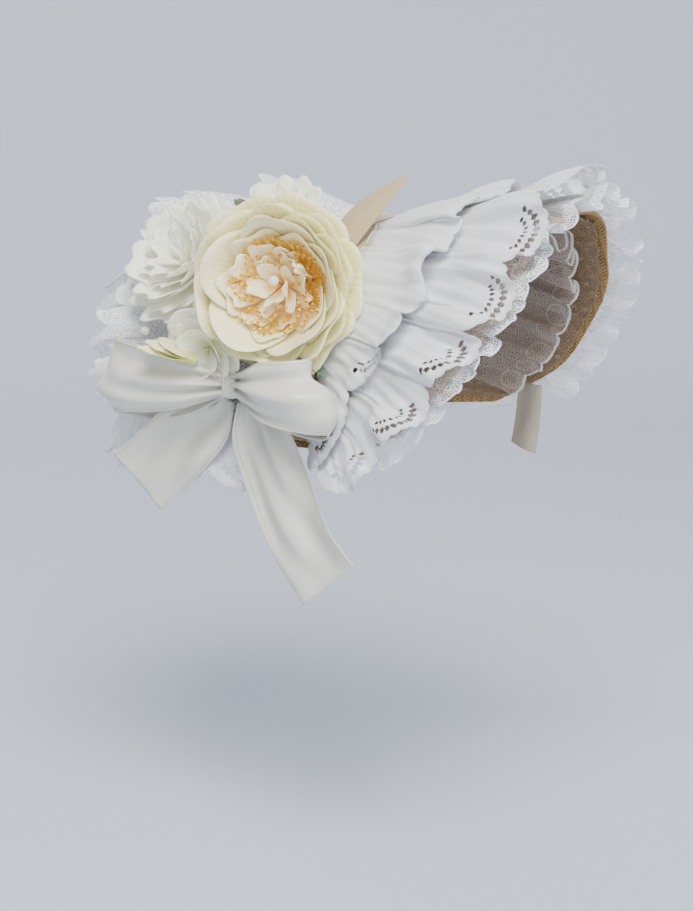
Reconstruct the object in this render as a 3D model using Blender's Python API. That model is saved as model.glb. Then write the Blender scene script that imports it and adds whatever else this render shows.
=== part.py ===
"""A straw poke bonnet dressed with eyelet frills, net lace, silk flowers and a satin bow.

Metres, +Z up. The wearer faces -Y and the wearer's right side is -X. The origin is the top of
the head, where it meets the inside of the crown.

Straw and frills are sheets on two surfaces, the crown's and the brim's. A place on a surface is
a turn, from 0 at the top to 1 at the wearer's left end (-1 at the right), and a share, which
runs over the crown from the brim to the nape, and over the brim from the crown to the rim.
"""
import bmesh
import bpy
import numpy as np
from mathutils import Vector

# Straw form
HEAD_HALF_WIDTH = 0.088
CROWN_HEIGHT = 0.145
CROWN_DEPTH = 0.200
CROWN_FULLNESS = 3.0
JUNCTION_REACH = 0.065
BRIM_REACH = 0.142
RIM_HALF_WIDTH = 0.119
STRAW_WALL = 0.0025

# Cloth
CLOTH_WALL = 0.0012
SATIN_WALL = 0.0012
LAYER_STEP = 0.0026
GAP = 0.0004
HEADER_RAMP = 0.08
FRILL_BEND = 1.4
BRIM_SEAM = 0.0024
END_EASE = 0.45
END_SAG = 0.026
SAG_FROM = 0.60
SAG_FLARE = 0.60
SAG_SHARE = 0.5

# Tan band between crown and brim
BAND_SHARE = 0.095
BAND_END = 0.97
BAND_POINT_LENGTH = 0.064
BAND_POINT_WIDTH = 0.025
BAND_POINT_TAPER = 0.94
BAND_POINT_ROUND = 2.2
BAND_POINT_WALL = 0.0016
BAND_POINT_TURN = -0.25
BAND_POINT_LIFT = 0.003
BAND_POINT_LEAN = (0.62, -0.42, 0.62)

# Frills on the brim
RIM_LACE_OVERHANG = 0.023
RIM_LACE_SWING = 0.004
RIM_LACE_FOLDS = 15
RIM_LACE_END = 0.86
EYELET_OVERHANG = 0.009
EYELET_NEAR_OVERHANG = 0.006
EYELET_RISE = 0.009
EYELET_SWING = 0.007
EYELET_FOLDS = 12
EYELET_END = 0.98
UPPER_EYELET_RISE = 0.009
UPPER_EYELET_SWING = 0.009
UPPER_EYELET_FOLDS = 9
UPPER_EYELET_END = 0.94
UPPER_EYELET_SHORTER = 0.10
LINING_SWING = 0.0025
LINING_FOLDS = 16
LINING_END = 0.96
LINING_FRILL_RISE = 0.008
LINING_FRILL_SWING = 0.006
LINING_FRILL_FOLDS = 10
LINING_FRILL_END = 0.86

# Frills on the crown
TOP_FRILL_RISE = 0.016
MIDDLE_FRILL_RISE = 0.024
BACK_FRILL_RISE = 0.022
CROWN_FRILL_SWING = 0.007
CROWN_FRILL_FOLDS = 11
CROWN_FRILL_END = 0.88
BASE_FRILL_DROP = 0.036
BASE_FRILL_FLARE = 0.012
BASE_FRILL_SWING = 0.004
BASE_FRILL_FOLDS = 9
BASE_FRILL_OVERLAP = 0.006
BASE_FRILL_START = 0.06
BASE_FRILL_STAND = 0.0034

# Flowers lie on the right side and press the frills down beneath them
PRESSED_SHARE = 0.12
PRESS_RADIUS = 0.062
PRESS_FADE = 0.040
PEONY_RADIUS = 0.057
PEONY_DEPTH = 0.036
PALE_FLOWER_RADIUS = 0.045
PALE_FLOWER_DEPTH = 0.026
SMALL_FLOWER_RADIUS = 0.020
SMALL_FLOWER_DEPTH = 0.012
BUD_WIDTH = 0.022
BUD_LENGTH = 0.038
PETAL_WALL = 0.0011
LEAF_LENGTH = 0.030
LEAF_WIDTH = 0.014
PEARL_RADIUS = 0.0036
PETAL_FOOT = 0.004
PETAL_RIPPLE = 0.0012
PETAL_NOTCH = 0.13
LEAF_POINT = 0.10
LEAF_KEEL = 0.3

# Where each ornament is: turn and share on the crown, lift over the frills, and its axis
PEONY_PLACE = (-0.43, 0.13)
PEONY_LIFT = 0.008
PEONY_AXIS = (-0.93, -0.23, 0.10)
PALE_PLACE = (-0.40, 0.53)
PALE_AXIS = (-0.80, 0.20, 0.56)
SMALL_PLACE = (-0.60, 0.39)
SMALL_LIFT = 0.021
SMALL_AXIS = (-0.93, 0.10, -0.20)
BUD_PLACE = (-0.70, 0.34)
BUD_LIFT = 0.042
BUD_AXIS = (-0.10, 0.90, 0.36)
SIDE_PEARL_PLACE = (-0.61, 0.62)
SIDE_PEARL_LIFT = 0.018
LEAVES = (
    (-0.22, 0.40, 0.006, (-0.72, -0.10, 0.56)),
    (-0.66, 0.30, 0.006, (-0.45, 0.30, 0.62)),
    (-0.66, 0.05, 0.008, (-0.30, -0.90, -0.34)),
)
BOW_PLACE = (-0.79, 0.25)
BOW_LIFT = 0.021

# Satin bow and streamer
RIBBON_WIDTH = 0.050
LOOP_REACH = 0.094
FRONT_LOOP_REACH = 0.072
BACK_LOOP_TILT = -0.10
FRONT_LOOP_TILT = 0.42
LOOP_FULLNESS = 0.017
SHORT_TAIL_LENGTH = 0.125
LONG_TAIL_LENGTH = 0.130
KNOT_WIDTH = 0.014
KNOT_HEIGHT = 0.022
KNOT_DEPTH = 0.014
STREAMER_LENGTH = 0.047
STREAMER_WIDTH = 0.021
STREAMER_TURN = 0.82
STREAMER_INSET = 0.016
STREAMER_CURL = 0.010
STREAMER_SLANT = 0.30

# Roughness of the finishes
STRAW_ROUGH = 0.75
TAN_ROUGH = 0.6
COTTON_ROUGH = 0.8
NET_ROUGH = 0.85
SILK_ROUGH = 0.7
PEARL_ROUGH = 0.25
SATIN_ROUGH = 0.35

# Shares of a surface from a strip's sewn edge to its free one
RIM_LACE_SHARES = (0.80, 1.0)
EYELET_SHARES = (0.45, 1.0)
UPPER_EYELET_SHARES = (0.06, 0.62)
LINING_SHARES = (0.08, 0.94)
LINING_FRILL_SHARES = (0.86, 0.46)
BACK_FRILL_SHARES = (0.66, 0.93)
MIDDLE_FRILL_SHARES = (0.38, 0.78)
TOP_FRILL_SHARES = (0.12, 0.52)
EAR_TURNS = (0.50, 0.80)
NEAR_TURNS = (0.30, -0.50)

# Points along and across each sheet
CROWN_GRID = (25, 8)
BRIM_GRID = (33, 4)
BAND_GRID = (25, 2)
BAND_POINT_GRID = (6, 3)
RIM_LACE_GRID = (73, 3)
EYELET_GRID = (73, 4)
UPPER_EYELET_GRID = (57, 4)
LINING_GRID = (33, 3)
LINING_FRILL_GRID = (41, 3)
CROWN_FRILL_GRID = (49, 3)
BASE_FRILL_GRID = (49, 3)
BLADE_GRID = (6, 3)
STREAMER_GRID = (7, 3)
PETAL_STEPS = 5
LOOP_STEPS = 15
TAIL_STEPS = 9

# Colours
STRAW_COLOUR = (0.40, 0.26, 0.12)
TAN_COLOUR = (0.50, 0.38, 0.27)
EYELET_COLOUR = (0.80, 0.82, 0.86)
LACE_COLOUR = (0.78, 0.80, 0.84)
NET_COLOUR = (0.45, 0.40, 0.38)
IVORY_COLOUR = (0.82, 0.80, 0.66)
PALE_COLOUR = (0.80, 0.82, 0.76)
HEART_COLOUR = (0.80, 0.45, 0.12)
BUD_COLOUR = (0.76, 0.74, 0.50)
LEAF_COLOUR = (0.16, 0.24, 0.18)
PEARL_COLOUR = (0.85, 0.83, 0.78)
SATIN_COLOUR = (0.78, 0.76, 0.68)
SATIN_SHADE_COLOUR = (0.52, 0.50, 0.46)

# Where crown and brim meet: width and drop as shares of HEAD_HALF_WIDTH and CROWN_HEIGHT
JUNCTION = {
    "turn": (0.00, 0.14, 0.28, 0.42, 0.56, 0.72, 0.86, 1.00),
    "width_share": (0.00, 0.34, 0.64, 0.85, 0.96, 1.00, 1.00, 0.98),
    "drop_share": (0.00, 0.02, 0.10, 0.24, 0.41, 0.63, 0.82, 1.00),
    "reach_share": (1.00, 1.00, 0.99, 0.96, 0.93, 0.89, 0.84, 0.80),
}
# Rim: shares of RIM_HALF_WIDTH, CROWN_HEIGHT and BRIM_REACH
RIM = {
    "turn": (0.00, 0.14, 0.28, 0.42, 0.56, 0.72, 0.86, 1.00),
    "width_share": (0.00, 0.38, 0.63, 0.80, 0.925, 1.00, 0.99, 0.95),
    "drop_share": (-0.10, -0.045, 0.165, 0.36, 0.55, 0.77, 0.90, 1.00),
    "reach_share": (1.00, 0.985, 0.93, 0.865, 0.74, 0.57, 0.38, 0.20),
}
# What presses the frills: places as shares of HEAD_HALF_WIDTH, CROWN_DEPTH and CROWN_HEIGHT
PRESSED_AT = {
    "side_share": (-1.0, -1.0, -0.98, -1.10, -1.10),
    "back_share": (-0.16, -0.34, 0.16, 0.08, -0.30),
    "drop_share": (0.20, 0.28, 0.24, 0.66, 0.74),
}
# Whorls of the flowers, from the back forwards: shares of the flower's radius and depth
PEONY = {
    "node": ("peony_outer_petals", "peony_middle_petals", "peony_inner_petals", "peony_heart"),
    "petals": (7, 6, 5, 6),
    "radius_share": (1.00, 0.82, 0.62, 0.36),
    "base_share": (0.00, 0.12, 0.24, 0.34),
    "height_share": (0.62, 0.84, 0.98, 0.92),
    "cup": (1.3, 1.7, 2.0, 1.1),
    "rows": 4,
}
PALE_FLOWER = {
    "node": ("pale_flower_outer_petals", "pale_flower_inner_petals"),
    "petals": (7, 6),
    "radius_share": (1.00, 0.66),
    "base_share": (0.00, 0.22),
    "height_share": (0.55, 0.95),
    "cup": (1.2, 1.2),
    "rows": 3,
}
SMALL_FLOWER = {
    "node": ("small_flower_petals",),
    "petals": (6,),
    "radius_share": (1.00,),
    "base_share": (0.00,),
    "height_share": (1.00,),
    "cup": (1.3,),
    "rows": 3,
}
# Bow loop, from the knot out along the front and back behind it: shares of the reach,
# LOOP_FULLNESS (outwards) and RIBBON_WIDTH
LOOP = {
    "way": (0.00, 0.16, 0.34, 0.50, 0.66, 0.84, 1.00),
    "reach_share": (0.00, 0.38, 0.80, 1.00, 0.80, 0.38, 0.00),
    "out_share": (0.22, 0.95, 1.00, 0.40, -0.12, -0.10, -0.05),
    "width_share": (0.34, 0.78, 1.00, 1.04, 1.00, 0.74, 0.34),
}
# Bow tails: shares of the tail's length (sideways and down), LOOP_FULLNESS and RIBBON_WIDTH
SHORT_TAIL = {
    "way": (0.00, 0.25, 0.55, 0.80, 1.00),
    "side_share": (0.09, 0.20, 0.38, 0.53, 0.68),
    "down_share": (0.00, 0.12, 0.28, 0.43, 0.56),
    "out_share": (-0.46, -0.46, -0.42, -0.30, -0.20),
    "width_share": (0.28, 0.80, 1.00, 1.00, 1.00),
    "slant": (0.00, 0.00, 0.00, 0.00, 0.12),
}
LONG_TAIL = {
    "way": (0.00, 0.18, 0.42, 0.70, 1.00),
    "side_share": (-0.06, -0.12, -0.21, -0.345, -0.545),
    "down_share": (0.00, 0.14, 0.375, 0.634, 0.868),
    "out_share": (-0.32, -0.32, -0.26, -0.15, 0.00),
    "width_share": (0.28, 0.84, 1.00, 1.04, 1.04),
    "slant": (0.00, 0.00, 0.00, 0.00, 0.00),
}


def read(table, column, at, level_start=False):
    """Reads a column of a table on a smooth curve through its rows, and straight on past them."""
    keys = np.array(next(iter(table.values())), float)
    values = np.array(table[column], float)
    slopes = np.gradient(values, keys)
    if level_start:
        slopes[0] = 0.0
    past = np.maximum(at - keys[-1], 0.0)
    at = np.minimum(at, keys[-1])
    row = np.clip(np.searchsorted(keys, at, side="right") - 1, 0, len(keys) - 2)
    step = keys[row + 1] - keys[row]
    t = (at - keys[row]) / step
    start = (2 * t**3 - 3 * t**2 + 1) * values[row] + (t**3 - 2 * t**2 + t) * step * slopes[row]
    end = (3 * t**2 - 2 * t**3) * values[row + 1] + (t**3 - t**2) * step * slopes[row + 1]
    return start + end + past * slopes[-1]


def arch(table, turn, width, reach_start, reach):
    """An arch over the head from a table of widths, reaches and drops."""
    at = np.abs(turn)
    side = width * read(table, "width_share", at) * np.sign(turn)
    front = reach_start + reach * read(table, "reach_share", at, level_start=True)
    down = CROWN_HEIGHT * read(table, "drop_share", at, level_start=True)
    return np.stack((side, -front, -down), -1)


def junction(turn):
    """Arch on which the crown and the brim meet, inside face."""
    return arch(JUNCTION, turn, HEAD_HALF_WIDTH, 0.0, JUNCTION_REACH)


def rim(turn):
    """Front edge of the brim, inside face."""
    return arch(RIM, turn, RIM_HALF_WIDTH, JUNCTION_REACH, BRIM_REACH)


def brim_surface(turn, share):
    """Straight lines from the junction to the rim, and on past it."""
    back, front = junction(turn), rim(turn)
    return back + (front - back) * share[..., None]


def sag(turn, share):
    """How far cloth on the brim hangs down towards the ears, more nearer its free edge."""
    drop = END_SAG * eased(SAG_FROM, 1.0, np.abs(turn)) * np.maximum(share - SAG_SHARE, 0.0)
    return np.stack((SAG_FLARE * drop * np.sign(turn), 0 * drop, -drop), -1)


def crown_surface(turn, share):
    """The junction's arch, drawn in towards the nape on a full round."""
    front = junction(turn)
    round_off = np.clip(1.0 - np.abs(share)**CROWN_FULLNESS, 0.0, 1.0) ** (1.0 / CROWN_FULLNESS)
    height = (front[..., 2] + CROWN_HEIGHT) * round_off - CROWN_HEIGHT
    back = front[..., 1] + (CROWN_DEPTH - JUNCTION_REACH - front[..., 1]) * share
    return np.stack((front[..., 0] * round_off, back, height), -1)


def brim_length(turn):
    """Straight length of the brim's straw at a turn."""
    return np.linalg.norm(rim(turn) - junction(turn), axis=-1)


def outward(surface, turn, share):
    """Unit normals of the crown or brim surface, away from the head."""
    step = 1e-3
    share = np.minimum(share, 0.99)
    along = surface(turn + step, share) - surface(turn - step, share)
    across = surface(turn, share + step) - surface(turn, share - step)
    normal = np.cross(along, across) if surface is crown_surface else np.cross(across, along)
    return normal / np.linalg.norm(normal, axis=-1, keepdims=True)


def add(name, mesh, colour, roughness):
    """Puts a mesh in the scene as a smooth object with its own material."""
    thing = bpy.data.objects.new(name, mesh)
    bpy.context.scene.collection.objects.link(thing)
    for face in mesh.polygons:
        face.use_smooth = True
    material = bpy.data.materials.new(name)
    material.use_nodes = True
    shader = material.node_tree.nodes["Principled BSDF"]
    shader.inputs["Base Color"].default_value = (*colour, 1.0)
    shader.inputs["Roughness"].default_value = roughness
    shader.inputs["Metallic"].default_value = 0.0
    mesh.materials.append(material)
    return thing


def sheet(name, points, wall, offset, colour, roughness, ring=False):
    """One closed solid: a grid of points given a wall. A ring closes on itself along its rows."""
    rows, columns = points.shape[:2]
    faces = []
    for row in range(rows if ring else rows - 1):
        after = (row + 1) % rows
        for column in range(columns - 1):
            faces.append((row * columns + column, row * columns + column + 1,
                          after * columns + column + 1, after * columns + column))
    mesh = bpy.data.meshes.new(name)
    mesh.from_pydata([tuple(point) for point in points.reshape(-1, 3)], [], faces)
    thing = add(name, mesh, colour, roughness)
    thick = thing.modifiers.new("wall", "SOLIDIFY")
    thick.thickness = wall
    thick.offset = offset
    return thing


def grid(first, last, count, rows):
    """Turns from first to last and shares from 0 to 1, as two arrays of rows and columns."""
    return np.meshgrid(np.linspace(first, last, count), np.linspace(0.0, 1.0, rows), indexing="ij")


def pressed(points):
    """How much of its height a frill keeps: little under the flowers and the bow."""
    keeps = np.ones(points.shape[:-1])
    for place_shares in zip(*PRESSED_AT.values()):
        centre = np.array(place_shares) * (HEAD_HALF_WIDTH, CROWN_DEPTH, -CROWN_HEIGHT)
        away = np.linalg.norm(points - centre, axis=-1)
        ease = eased(PRESS_RADIUS, PRESS_RADIUS + PRESS_FADE, away)
        keeps = np.minimum(keeps, PRESSED_SHARE + (1.0 - PRESSED_SHARE) * ease)
    return keeps


def eased(low, high, at):
    """0 at low to 1 at high and beyond, smooth at both."""
    ease = np.clip((at - low) / (high - low), 0.0, 1.0)
    return ease**2 * (3 - 2 * ease)


class Frill:
    """A gathered strip, sewn to a surface along the start share and free along the end share.

    The height of its folds grows from the sewn edge to the free one. beneath is the frill that
    it lies over, whose highest folds it clears by a layer. An inner strip has no straw beneath.
    """

    def __init__(self, surface, shares, rise, swing, folds, inset=0.0, overhang=0.0, near=0.0,
                 shorter=0.0, beneath=None, inner=False):
        self.surface = surface
        self.start, self.end = shares
        self.inset, self.overhang, self.near, self.shorter = inset, overhang, near, shorter
        self.rise, self.swing, self.folds = rise, swing, folds
        self.beneath, self.inner = beneath, inner

    def sewn_edge(self, turn):
        """Share of the sewn edge, which keeps off the crown's band by the inset."""
        return self.start + self.inset / brim_length(turn)

    def free_edge(self, turn):
        """Share of the free edge, which passes the rim by the overhang and by more of it near
        the wearer's right, and stops shorter at the ears."""
        beyond = self.overhang + self.near * eased(*NEAR_TURNS, turn)
        return (self.end - self.shorter * eased(*EAR_TURNS, np.abs(turn))
                + beyond / brim_length(turn))

    def way(self, turn, share):
        """0 at the sewn edge to 1 at the free one."""
        first, last = self.sewn_edge(turn), self.free_edge(turn)
        return np.clip((share - first) / (last - first), 0.0, 1.0)

    def keeps(self, turn, share):
        """How much of their full height the folds keep: less towards the ears."""
        ends = 1.0 - END_EASE * np.abs(turn) ** 5
        if self.inner:
            return ends
        return ends * pressed(self.surface(turn, np.clip(share, 0.0, 1.0)))

    def seat(self, turn, share):
        """Height of the middle of this strip where its folds lie flat."""
        if self.beneath is None:
            return (0.0 if self.inner else STRAW_WALL) + LAYER_STEP / 2 + 0.0 * share
        return self.beneath.clear(turn, share)

    def clear(self, turn, share):
        """Height that a strip over this one keeps, with a short ramp before its sewn edge."""
        toward = 1.0 if self.end > self.start else -1.0
        ramp = np.clip(1.0 + toward * (share - self.start) / HEADER_RAMP, 0.0, 1.0)
        way = self.way(turn, share)
        folds = self.keeps(turn, share) * (self.rise * way**FRILL_BEND + self.swing * way)
        return self.seat(turn, share) + ramp * LAYER_STEP + folds

    def points(self, first, last, columns, rows):
        turn, way = grid(first, last, columns, rows)
        share = self.sewn_edge(turn) + (self.free_edge(turn) - self.sewn_edge(turn)) * way
        wave = 0.5 + 0.5 * np.sin(np.pi * self.folds * turn)
        folds = self.rise * way**FRILL_BEND + self.swing * way * wave
        height = self.seat(turn, share) + self.keeps(turn, share) * folds
        if self.inner:
            height = -height
        points = self.surface(turn, share) + outward(self.surface, turn, share) * height[..., None]
        if self.surface is brim_surface and not self.inner:
            points += sag(turn, share)
        return points


RIM_LACE = Frill(brim_surface, RIM_LACE_SHARES, 0.0, RIM_LACE_SWING, RIM_LACE_FOLDS,
                 overhang=RIM_LACE_OVERHANG)
EYELET = Frill(brim_surface, EYELET_SHARES, EYELET_RISE, EYELET_SWING, EYELET_FOLDS,
               overhang=EYELET_OVERHANG, near=EYELET_NEAR_OVERHANG, beneath=RIM_LACE)
UPPER_EYELET = Frill(brim_surface, UPPER_EYELET_SHARES, UPPER_EYELET_RISE, UPPER_EYELET_SWING,
                     UPPER_EYELET_FOLDS, inset=BRIM_SEAM, shorter=UPPER_EYELET_SHORTER,
                     beneath=EYELET)
LINING = Frill(brim_surface, LINING_SHARES, 0.0, LINING_SWING, LINING_FOLDS, inner=True)
LINING_FRILL = Frill(brim_surface, LINING_FRILL_SHARES, LINING_FRILL_RISE, LINING_FRILL_SWING,
                     LINING_FRILL_FOLDS, beneath=LINING, inner=True)
BACK_FRILL = Frill(crown_surface, BACK_FRILL_SHARES, BACK_FRILL_RISE, CROWN_FRILL_SWING,
                   CROWN_FRILL_FOLDS)
MIDDLE_FRILL = Frill(crown_surface, MIDDLE_FRILL_SHARES, MIDDLE_FRILL_RISE, CROWN_FRILL_SWING,
                     CROWN_FRILL_FOLDS, beneath=BACK_FRILL)
TOP_FRILL = Frill(crown_surface, TOP_FRILL_SHARES, TOP_FRILL_RISE, CROWN_FRILL_SWING,
                  CROWN_FRILL_FOLDS, beneath=MIDDLE_FRILL)


def nape_share(quarter):
    """Share along the crown's lower edge at a quarter turn's share: 0 at the ear, 1 at the nape."""
    return np.sin(quarter * np.pi / 2) ** (2.0 / CROWN_FULLNESS)


def straw_crown():
    """Shell of the crown. Its rows run from ear to ear over the top and end in the nape."""
    turn, quarter = grid(-1.0, 1.0, *CROWN_GRID)
    shell = sheet("crown", crown_surface(turn, nape_share(quarter)), STRAW_WALL, -1.0,
                  STRAW_COLOUR, STRAW_ROUGH)
    join = bmesh.new()
    join.from_mesh(shell.data)
    bmesh.ops.remove_doubles(join, verts=join.verts[:], dist=GAP / 4)
    join.to_mesh(shell.data)
    join.free()


def straw_brim():
    turn, share = grid(-1.0, 1.0, *BRIM_GRID)
    first = BRIM_SEAM / brim_length(turn)
    share = first + (1.0 - first) * share
    sheet("brim", brim_surface(turn, share), STRAW_WALL, 1.0, STRAW_COLOUR, STRAW_ROUGH)


def tan_band():
    turn, share = grid(-BAND_END, BAND_END, *BAND_GRID)
    share = share * BAND_SHARE
    height = STRAW_WALL + GAP + CLOTH_WALL / 2
    points = crown_surface(turn, share) + outward(crown_surface, turn, share + GAP) * height
    sheet("tan_band", points, CLOTH_WALL, 0.0, TAN_COLOUR, TAN_ROUGH)


def band_point():
    """Pointed end of the band that stands up between the crown and the eyelet frills."""
    way, side = grid(0.0, 1.0, *BAND_POINT_GRID)
    foot = over_crown(BAND_POINT_TURN, BAND_SHARE / 3, BAND_POINT_LIFT)
    lean = np.array(BAND_POINT_LEAN) / np.linalg.norm(BAND_POINT_LEAN)
    across = np.array((0.0, 1.0, 0.0)) - lean * lean[1]
    width = BAND_POINT_WIDTH * (1.0 - BAND_POINT_TAPER * way**BAND_POINT_ROUND)
    points = (foot + lean * (BAND_POINT_LENGTH * way)[..., None]
              + across * (width * (side - 0.5))[..., None])
    sheet("band_point", points, BAND_POINT_WALL, 0.0, TAN_COLOUR, TAN_ROUGH)


def over_crown(turn, share, extra):
    """A point above every frill at a place on the crown."""
    turn, share = np.array(turn, float), np.array(share, float)
    height = TOP_FRILL.clear(turn, share) + extra
    return crown_surface(turn, share) + outward(crown_surface, turn, share) * height


def brim_frills():
    parts = (("rim_lace", RIM_LACE, RIM_LACE_GRID, RIM_LACE_END, LACE_COLOUR),
             ("eyelet_frill", EYELET, EYELET_GRID, EYELET_END, EYELET_COLOUR),
             ("upper_eyelet_frill", UPPER_EYELET, UPPER_EYELET_GRID, UPPER_EYELET_END,
              EYELET_COLOUR),
             ("brim_lining", LINING, LINING_GRID, LINING_END, NET_COLOUR),
             ("lining_frill", LINING_FRILL, LINING_FRILL_GRID, LINING_FRILL_END, NET_COLOUR))
    for name, frill, counts, ends, colour in parts:
        points = frill.points(-ends, ends, *counts)
        sheet(name, points, CLOTH_WALL, 0.0, colour, COTTON_ROUGH)


def crown_frills():
    parts = (("crown_frill_back", BACK_FRILL), ("crown_frill_middle", MIDDLE_FRILL),
             ("crown_frill_top", TOP_FRILL))
    for name, frill in parts:
        points = frill.points(-CROWN_FRILL_END, CROWN_FRILL_END, *CROWN_FRILL_GRID)
        sheet(name, points, CLOTH_WALL, 0.0, LACE_COLOUR, NET_ROUGH)


def base_frill():
    """Eyelet frill that hangs from the crown's lower edge, from ear to ear round the nape."""
    turn, way = grid(-1.0, 1.0, *BASE_FRILL_GRID)
    share = nape_share(BASE_FRILL_START + (1.0 - BASE_FRILL_START) * (1.0 - np.abs(turn)))
    edge = crown_surface(np.where(turn < 0.0, -1.0, 1.0), share)
    tangent = np.gradient(edge, axis=0)
    out = np.cross(tangent, (0.0, 0.0, -1.0))
    out /= np.linalg.norm(out, axis=-1, keepdims=True)
    wave = 0.5 + 0.5 * np.sin(np.pi * BASE_FRILL_FOLDS * turn)
    stand = STRAW_WALL + BASE_FRILL_STAND + BASE_FRILL_FLARE * way + BASE_FRILL_SWING * way * wave
    drop = BASE_FRILL_DROP * way - BASE_FRILL_OVERLAP
    points = edge + out * stand[..., None] - np.array((0.0, 0.0, 1.0)) * drop[..., None]
    sheet("base_frill", points, CLOTH_WALL, 0.0, EYELET_COLOUR, COTTON_ROUGH)


def place(thing, at, axis):
    """Stands an object modelled along +Z at a point, along an axis."""
    thing.location = Vector([float(value) for value in at])
    thing.rotation_mode = "QUATERNION"
    thing.rotation_quaternion = Vector((0.0, 0.0, 1.0)).rotation_difference(Vector(axis))


def flower(table, radius, depth, at, axis, colours):
    """Whorls of joined petals, each a lobed cup, one inside the next."""
    for whorl, name in enumerate(table["node"]):
        petals = table["petals"][whorl]
        turns = petals * PETAL_STEPS
        angle, way = grid(0.0, 2 * np.pi * (1.0 - 1.0 / turns), turns, table["rows"])
        lobe = 1.0 - PETAL_NOTCH * (1.0 - np.abs(np.cos(petals * angle / 2 + whorl)) ** 0.6)
        reach = PETAL_FOOT + (radius * table["radius_share"][whorl] * lobe - PETAL_FOOT) * way
        base, top = table["base_share"][whorl], table["height_share"][whorl]
        height = depth * (base + (top - base) * way ** table["cup"][whorl])
        height += PETAL_RIPPLE * way**2 * np.sin(petals * angle * 2 + whorl)
        points = np.stack((reach * np.cos(angle), reach * np.sin(angle), height), -1)
        place(sheet(name, points, PETAL_WALL, 0.0, colours[whorl], SILK_ROUGH, ring=True), at, axis)


def flowers():
    peony_at = over_crown(*PEONY_PLACE, PEONY_LIFT)
    flower(PEONY, PEONY_RADIUS, PEONY_DEPTH, peony_at, PEONY_AXIS,
           (IVORY_COLOUR, IVORY_COLOUR, IVORY_COLOUR, HEART_COLOUR))
    flower(PALE_FLOWER, PALE_FLOWER_RADIUS, PALE_FLOWER_DEPTH, over_crown(*PALE_PLACE, PETAL_WALL),
           PALE_AXIS, (PALE_COLOUR, PALE_COLOUR))
    flower(SMALL_FLOWER, SMALL_FLOWER_RADIUS, SMALL_FLOWER_DEPTH,
           over_crown(*SMALL_PLACE, SMALL_LIFT), SMALL_AXIS, (PALE_COLOUR,))
    pearl("peony_pearl", Vector(peony_at.tolist()) + Vector(PEONY_AXIS).normalized() * PEONY_DEPTH)
    pearl("side_pearl", over_crown(*SIDE_PEARL_PLACE, SIDE_PEARL_LIFT))


def pearl(name, at):
    mesh = bpy.data.meshes.new(name)
    ball = bmesh.new()
    bmesh.ops.create_icosphere(ball, subdivisions=2, radius=PEARL_RADIUS)
    ball.to_mesh(mesh)
    ball.free()
    add(name, mesh, PEARL_COLOUR, PEARL_ROUGH).location = Vector([float(value) for value in at])


def blade(name, length, width, at, axis, colour):
    """A leaf or a lone petal: pointed at both ends and folded a little along its middle."""
    way, side = grid(0.0, 1.0, *BLADE_GRID)
    spread = width * (LEAF_POINT + (1.0 - LEAF_POINT) * np.sin(np.pi * way))
    keel = np.abs(side - 0.5) * width * LEAF_KEEL
    points = np.stack((spread * (side - 0.5), keel, length * way), -1)
    place(sheet(name, points, PETAL_WALL, 0.0, colour, SILK_ROUGH), at, axis)


def leaves():
    for number, (turn, share, lift, axis) in enumerate(LEAVES, 1):
        blade(f"leaf_{number}", LEAF_LENGTH, LEAF_WIDTH, over_crown(turn, share, lift), axis,
              LEAF_COLOUR)
    blade("bud_petal", BUD_LENGTH, BUD_WIDTH, over_crown(*BUD_PLACE, BUD_LIFT), BUD_AXIS,
          BUD_COLOUR)


def ribbon(name, side, down, out, width, across):
    """A satin strip from the bow's centre, along a path given by arrays, with its width across."""
    lay = np.linspace(-0.5, 0.5, 3)
    path = np.stack((-out, side, -down), -1)
    points = (bow_centre() + path[:, None, :]
              + across[:, None, :] * (width[:, None] * lay)[..., None])
    sheet(name, points, SATIN_WALL, 0.0, SATIN_COLOUR, SATIN_ROUGH)


def bow_centre():
    return over_crown(*BOW_PLACE, BOW_LIFT)


def bow_loops():
    way = np.linspace(0.0, 1.0, LOOP_STEPS)
    start = KNOT_WIDTH / 2 + 2 * SATIN_WALL
    for name, sign, reach, tilt in (("bow_loop_back", 1.0, LOOP_REACH, BACK_LOOP_TILT),
                                    ("bow_loop_front", -1.0, FRONT_LOOP_REACH, FRONT_LOOP_TILT)):
        side = sign * (start + (reach - start) * read(LOOP, "reach_share", way))
        out = LOOP_FULLNESS * read(LOOP, "out_share", way)
        width = RIBBON_WIDTH * read(LOOP, "width_share", way)
        lean = tilt * read(LOOP, "reach_share", way)
        across = np.stack((0.0 * way, np.sin(lean), np.cos(lean)), -1)
        ribbon(name, side, 0.0 * way, out, width, across)


def bow_tails():
    for name, table, length in (("bow_tail_short", SHORT_TAIL, SHORT_TAIL_LENGTH),
                                ("bow_tail_long", LONG_TAIL, LONG_TAIL_LENGTH)):
        way = np.linspace(0.0, 1.0, TAIL_STEPS)
        side = length * read(table, "side_share", way)
        down = KNOT_HEIGHT / 2 + SATIN_WALL + length * read(table, "down_share", way)
        out = LOOP_FULLNESS * read(table, "out_share", way)
        width = RIBBON_WIDTH * read(table, "width_share", way)
        tangent = np.stack((0.0 * way, np.gradient(side), -np.gradient(down)), -1)
        across = np.cross(tangent, (1.0, 0.0, 0.0))
        across /= np.linalg.norm(across, axis=-1, keepdims=True)
        slant = read(table, "slant", way)[:, None]
        across = across + slant * tangent / np.linalg.norm(tangent, axis=-1, keepdims=True)
        ribbon(name, side, down, out, width, across)


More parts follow.
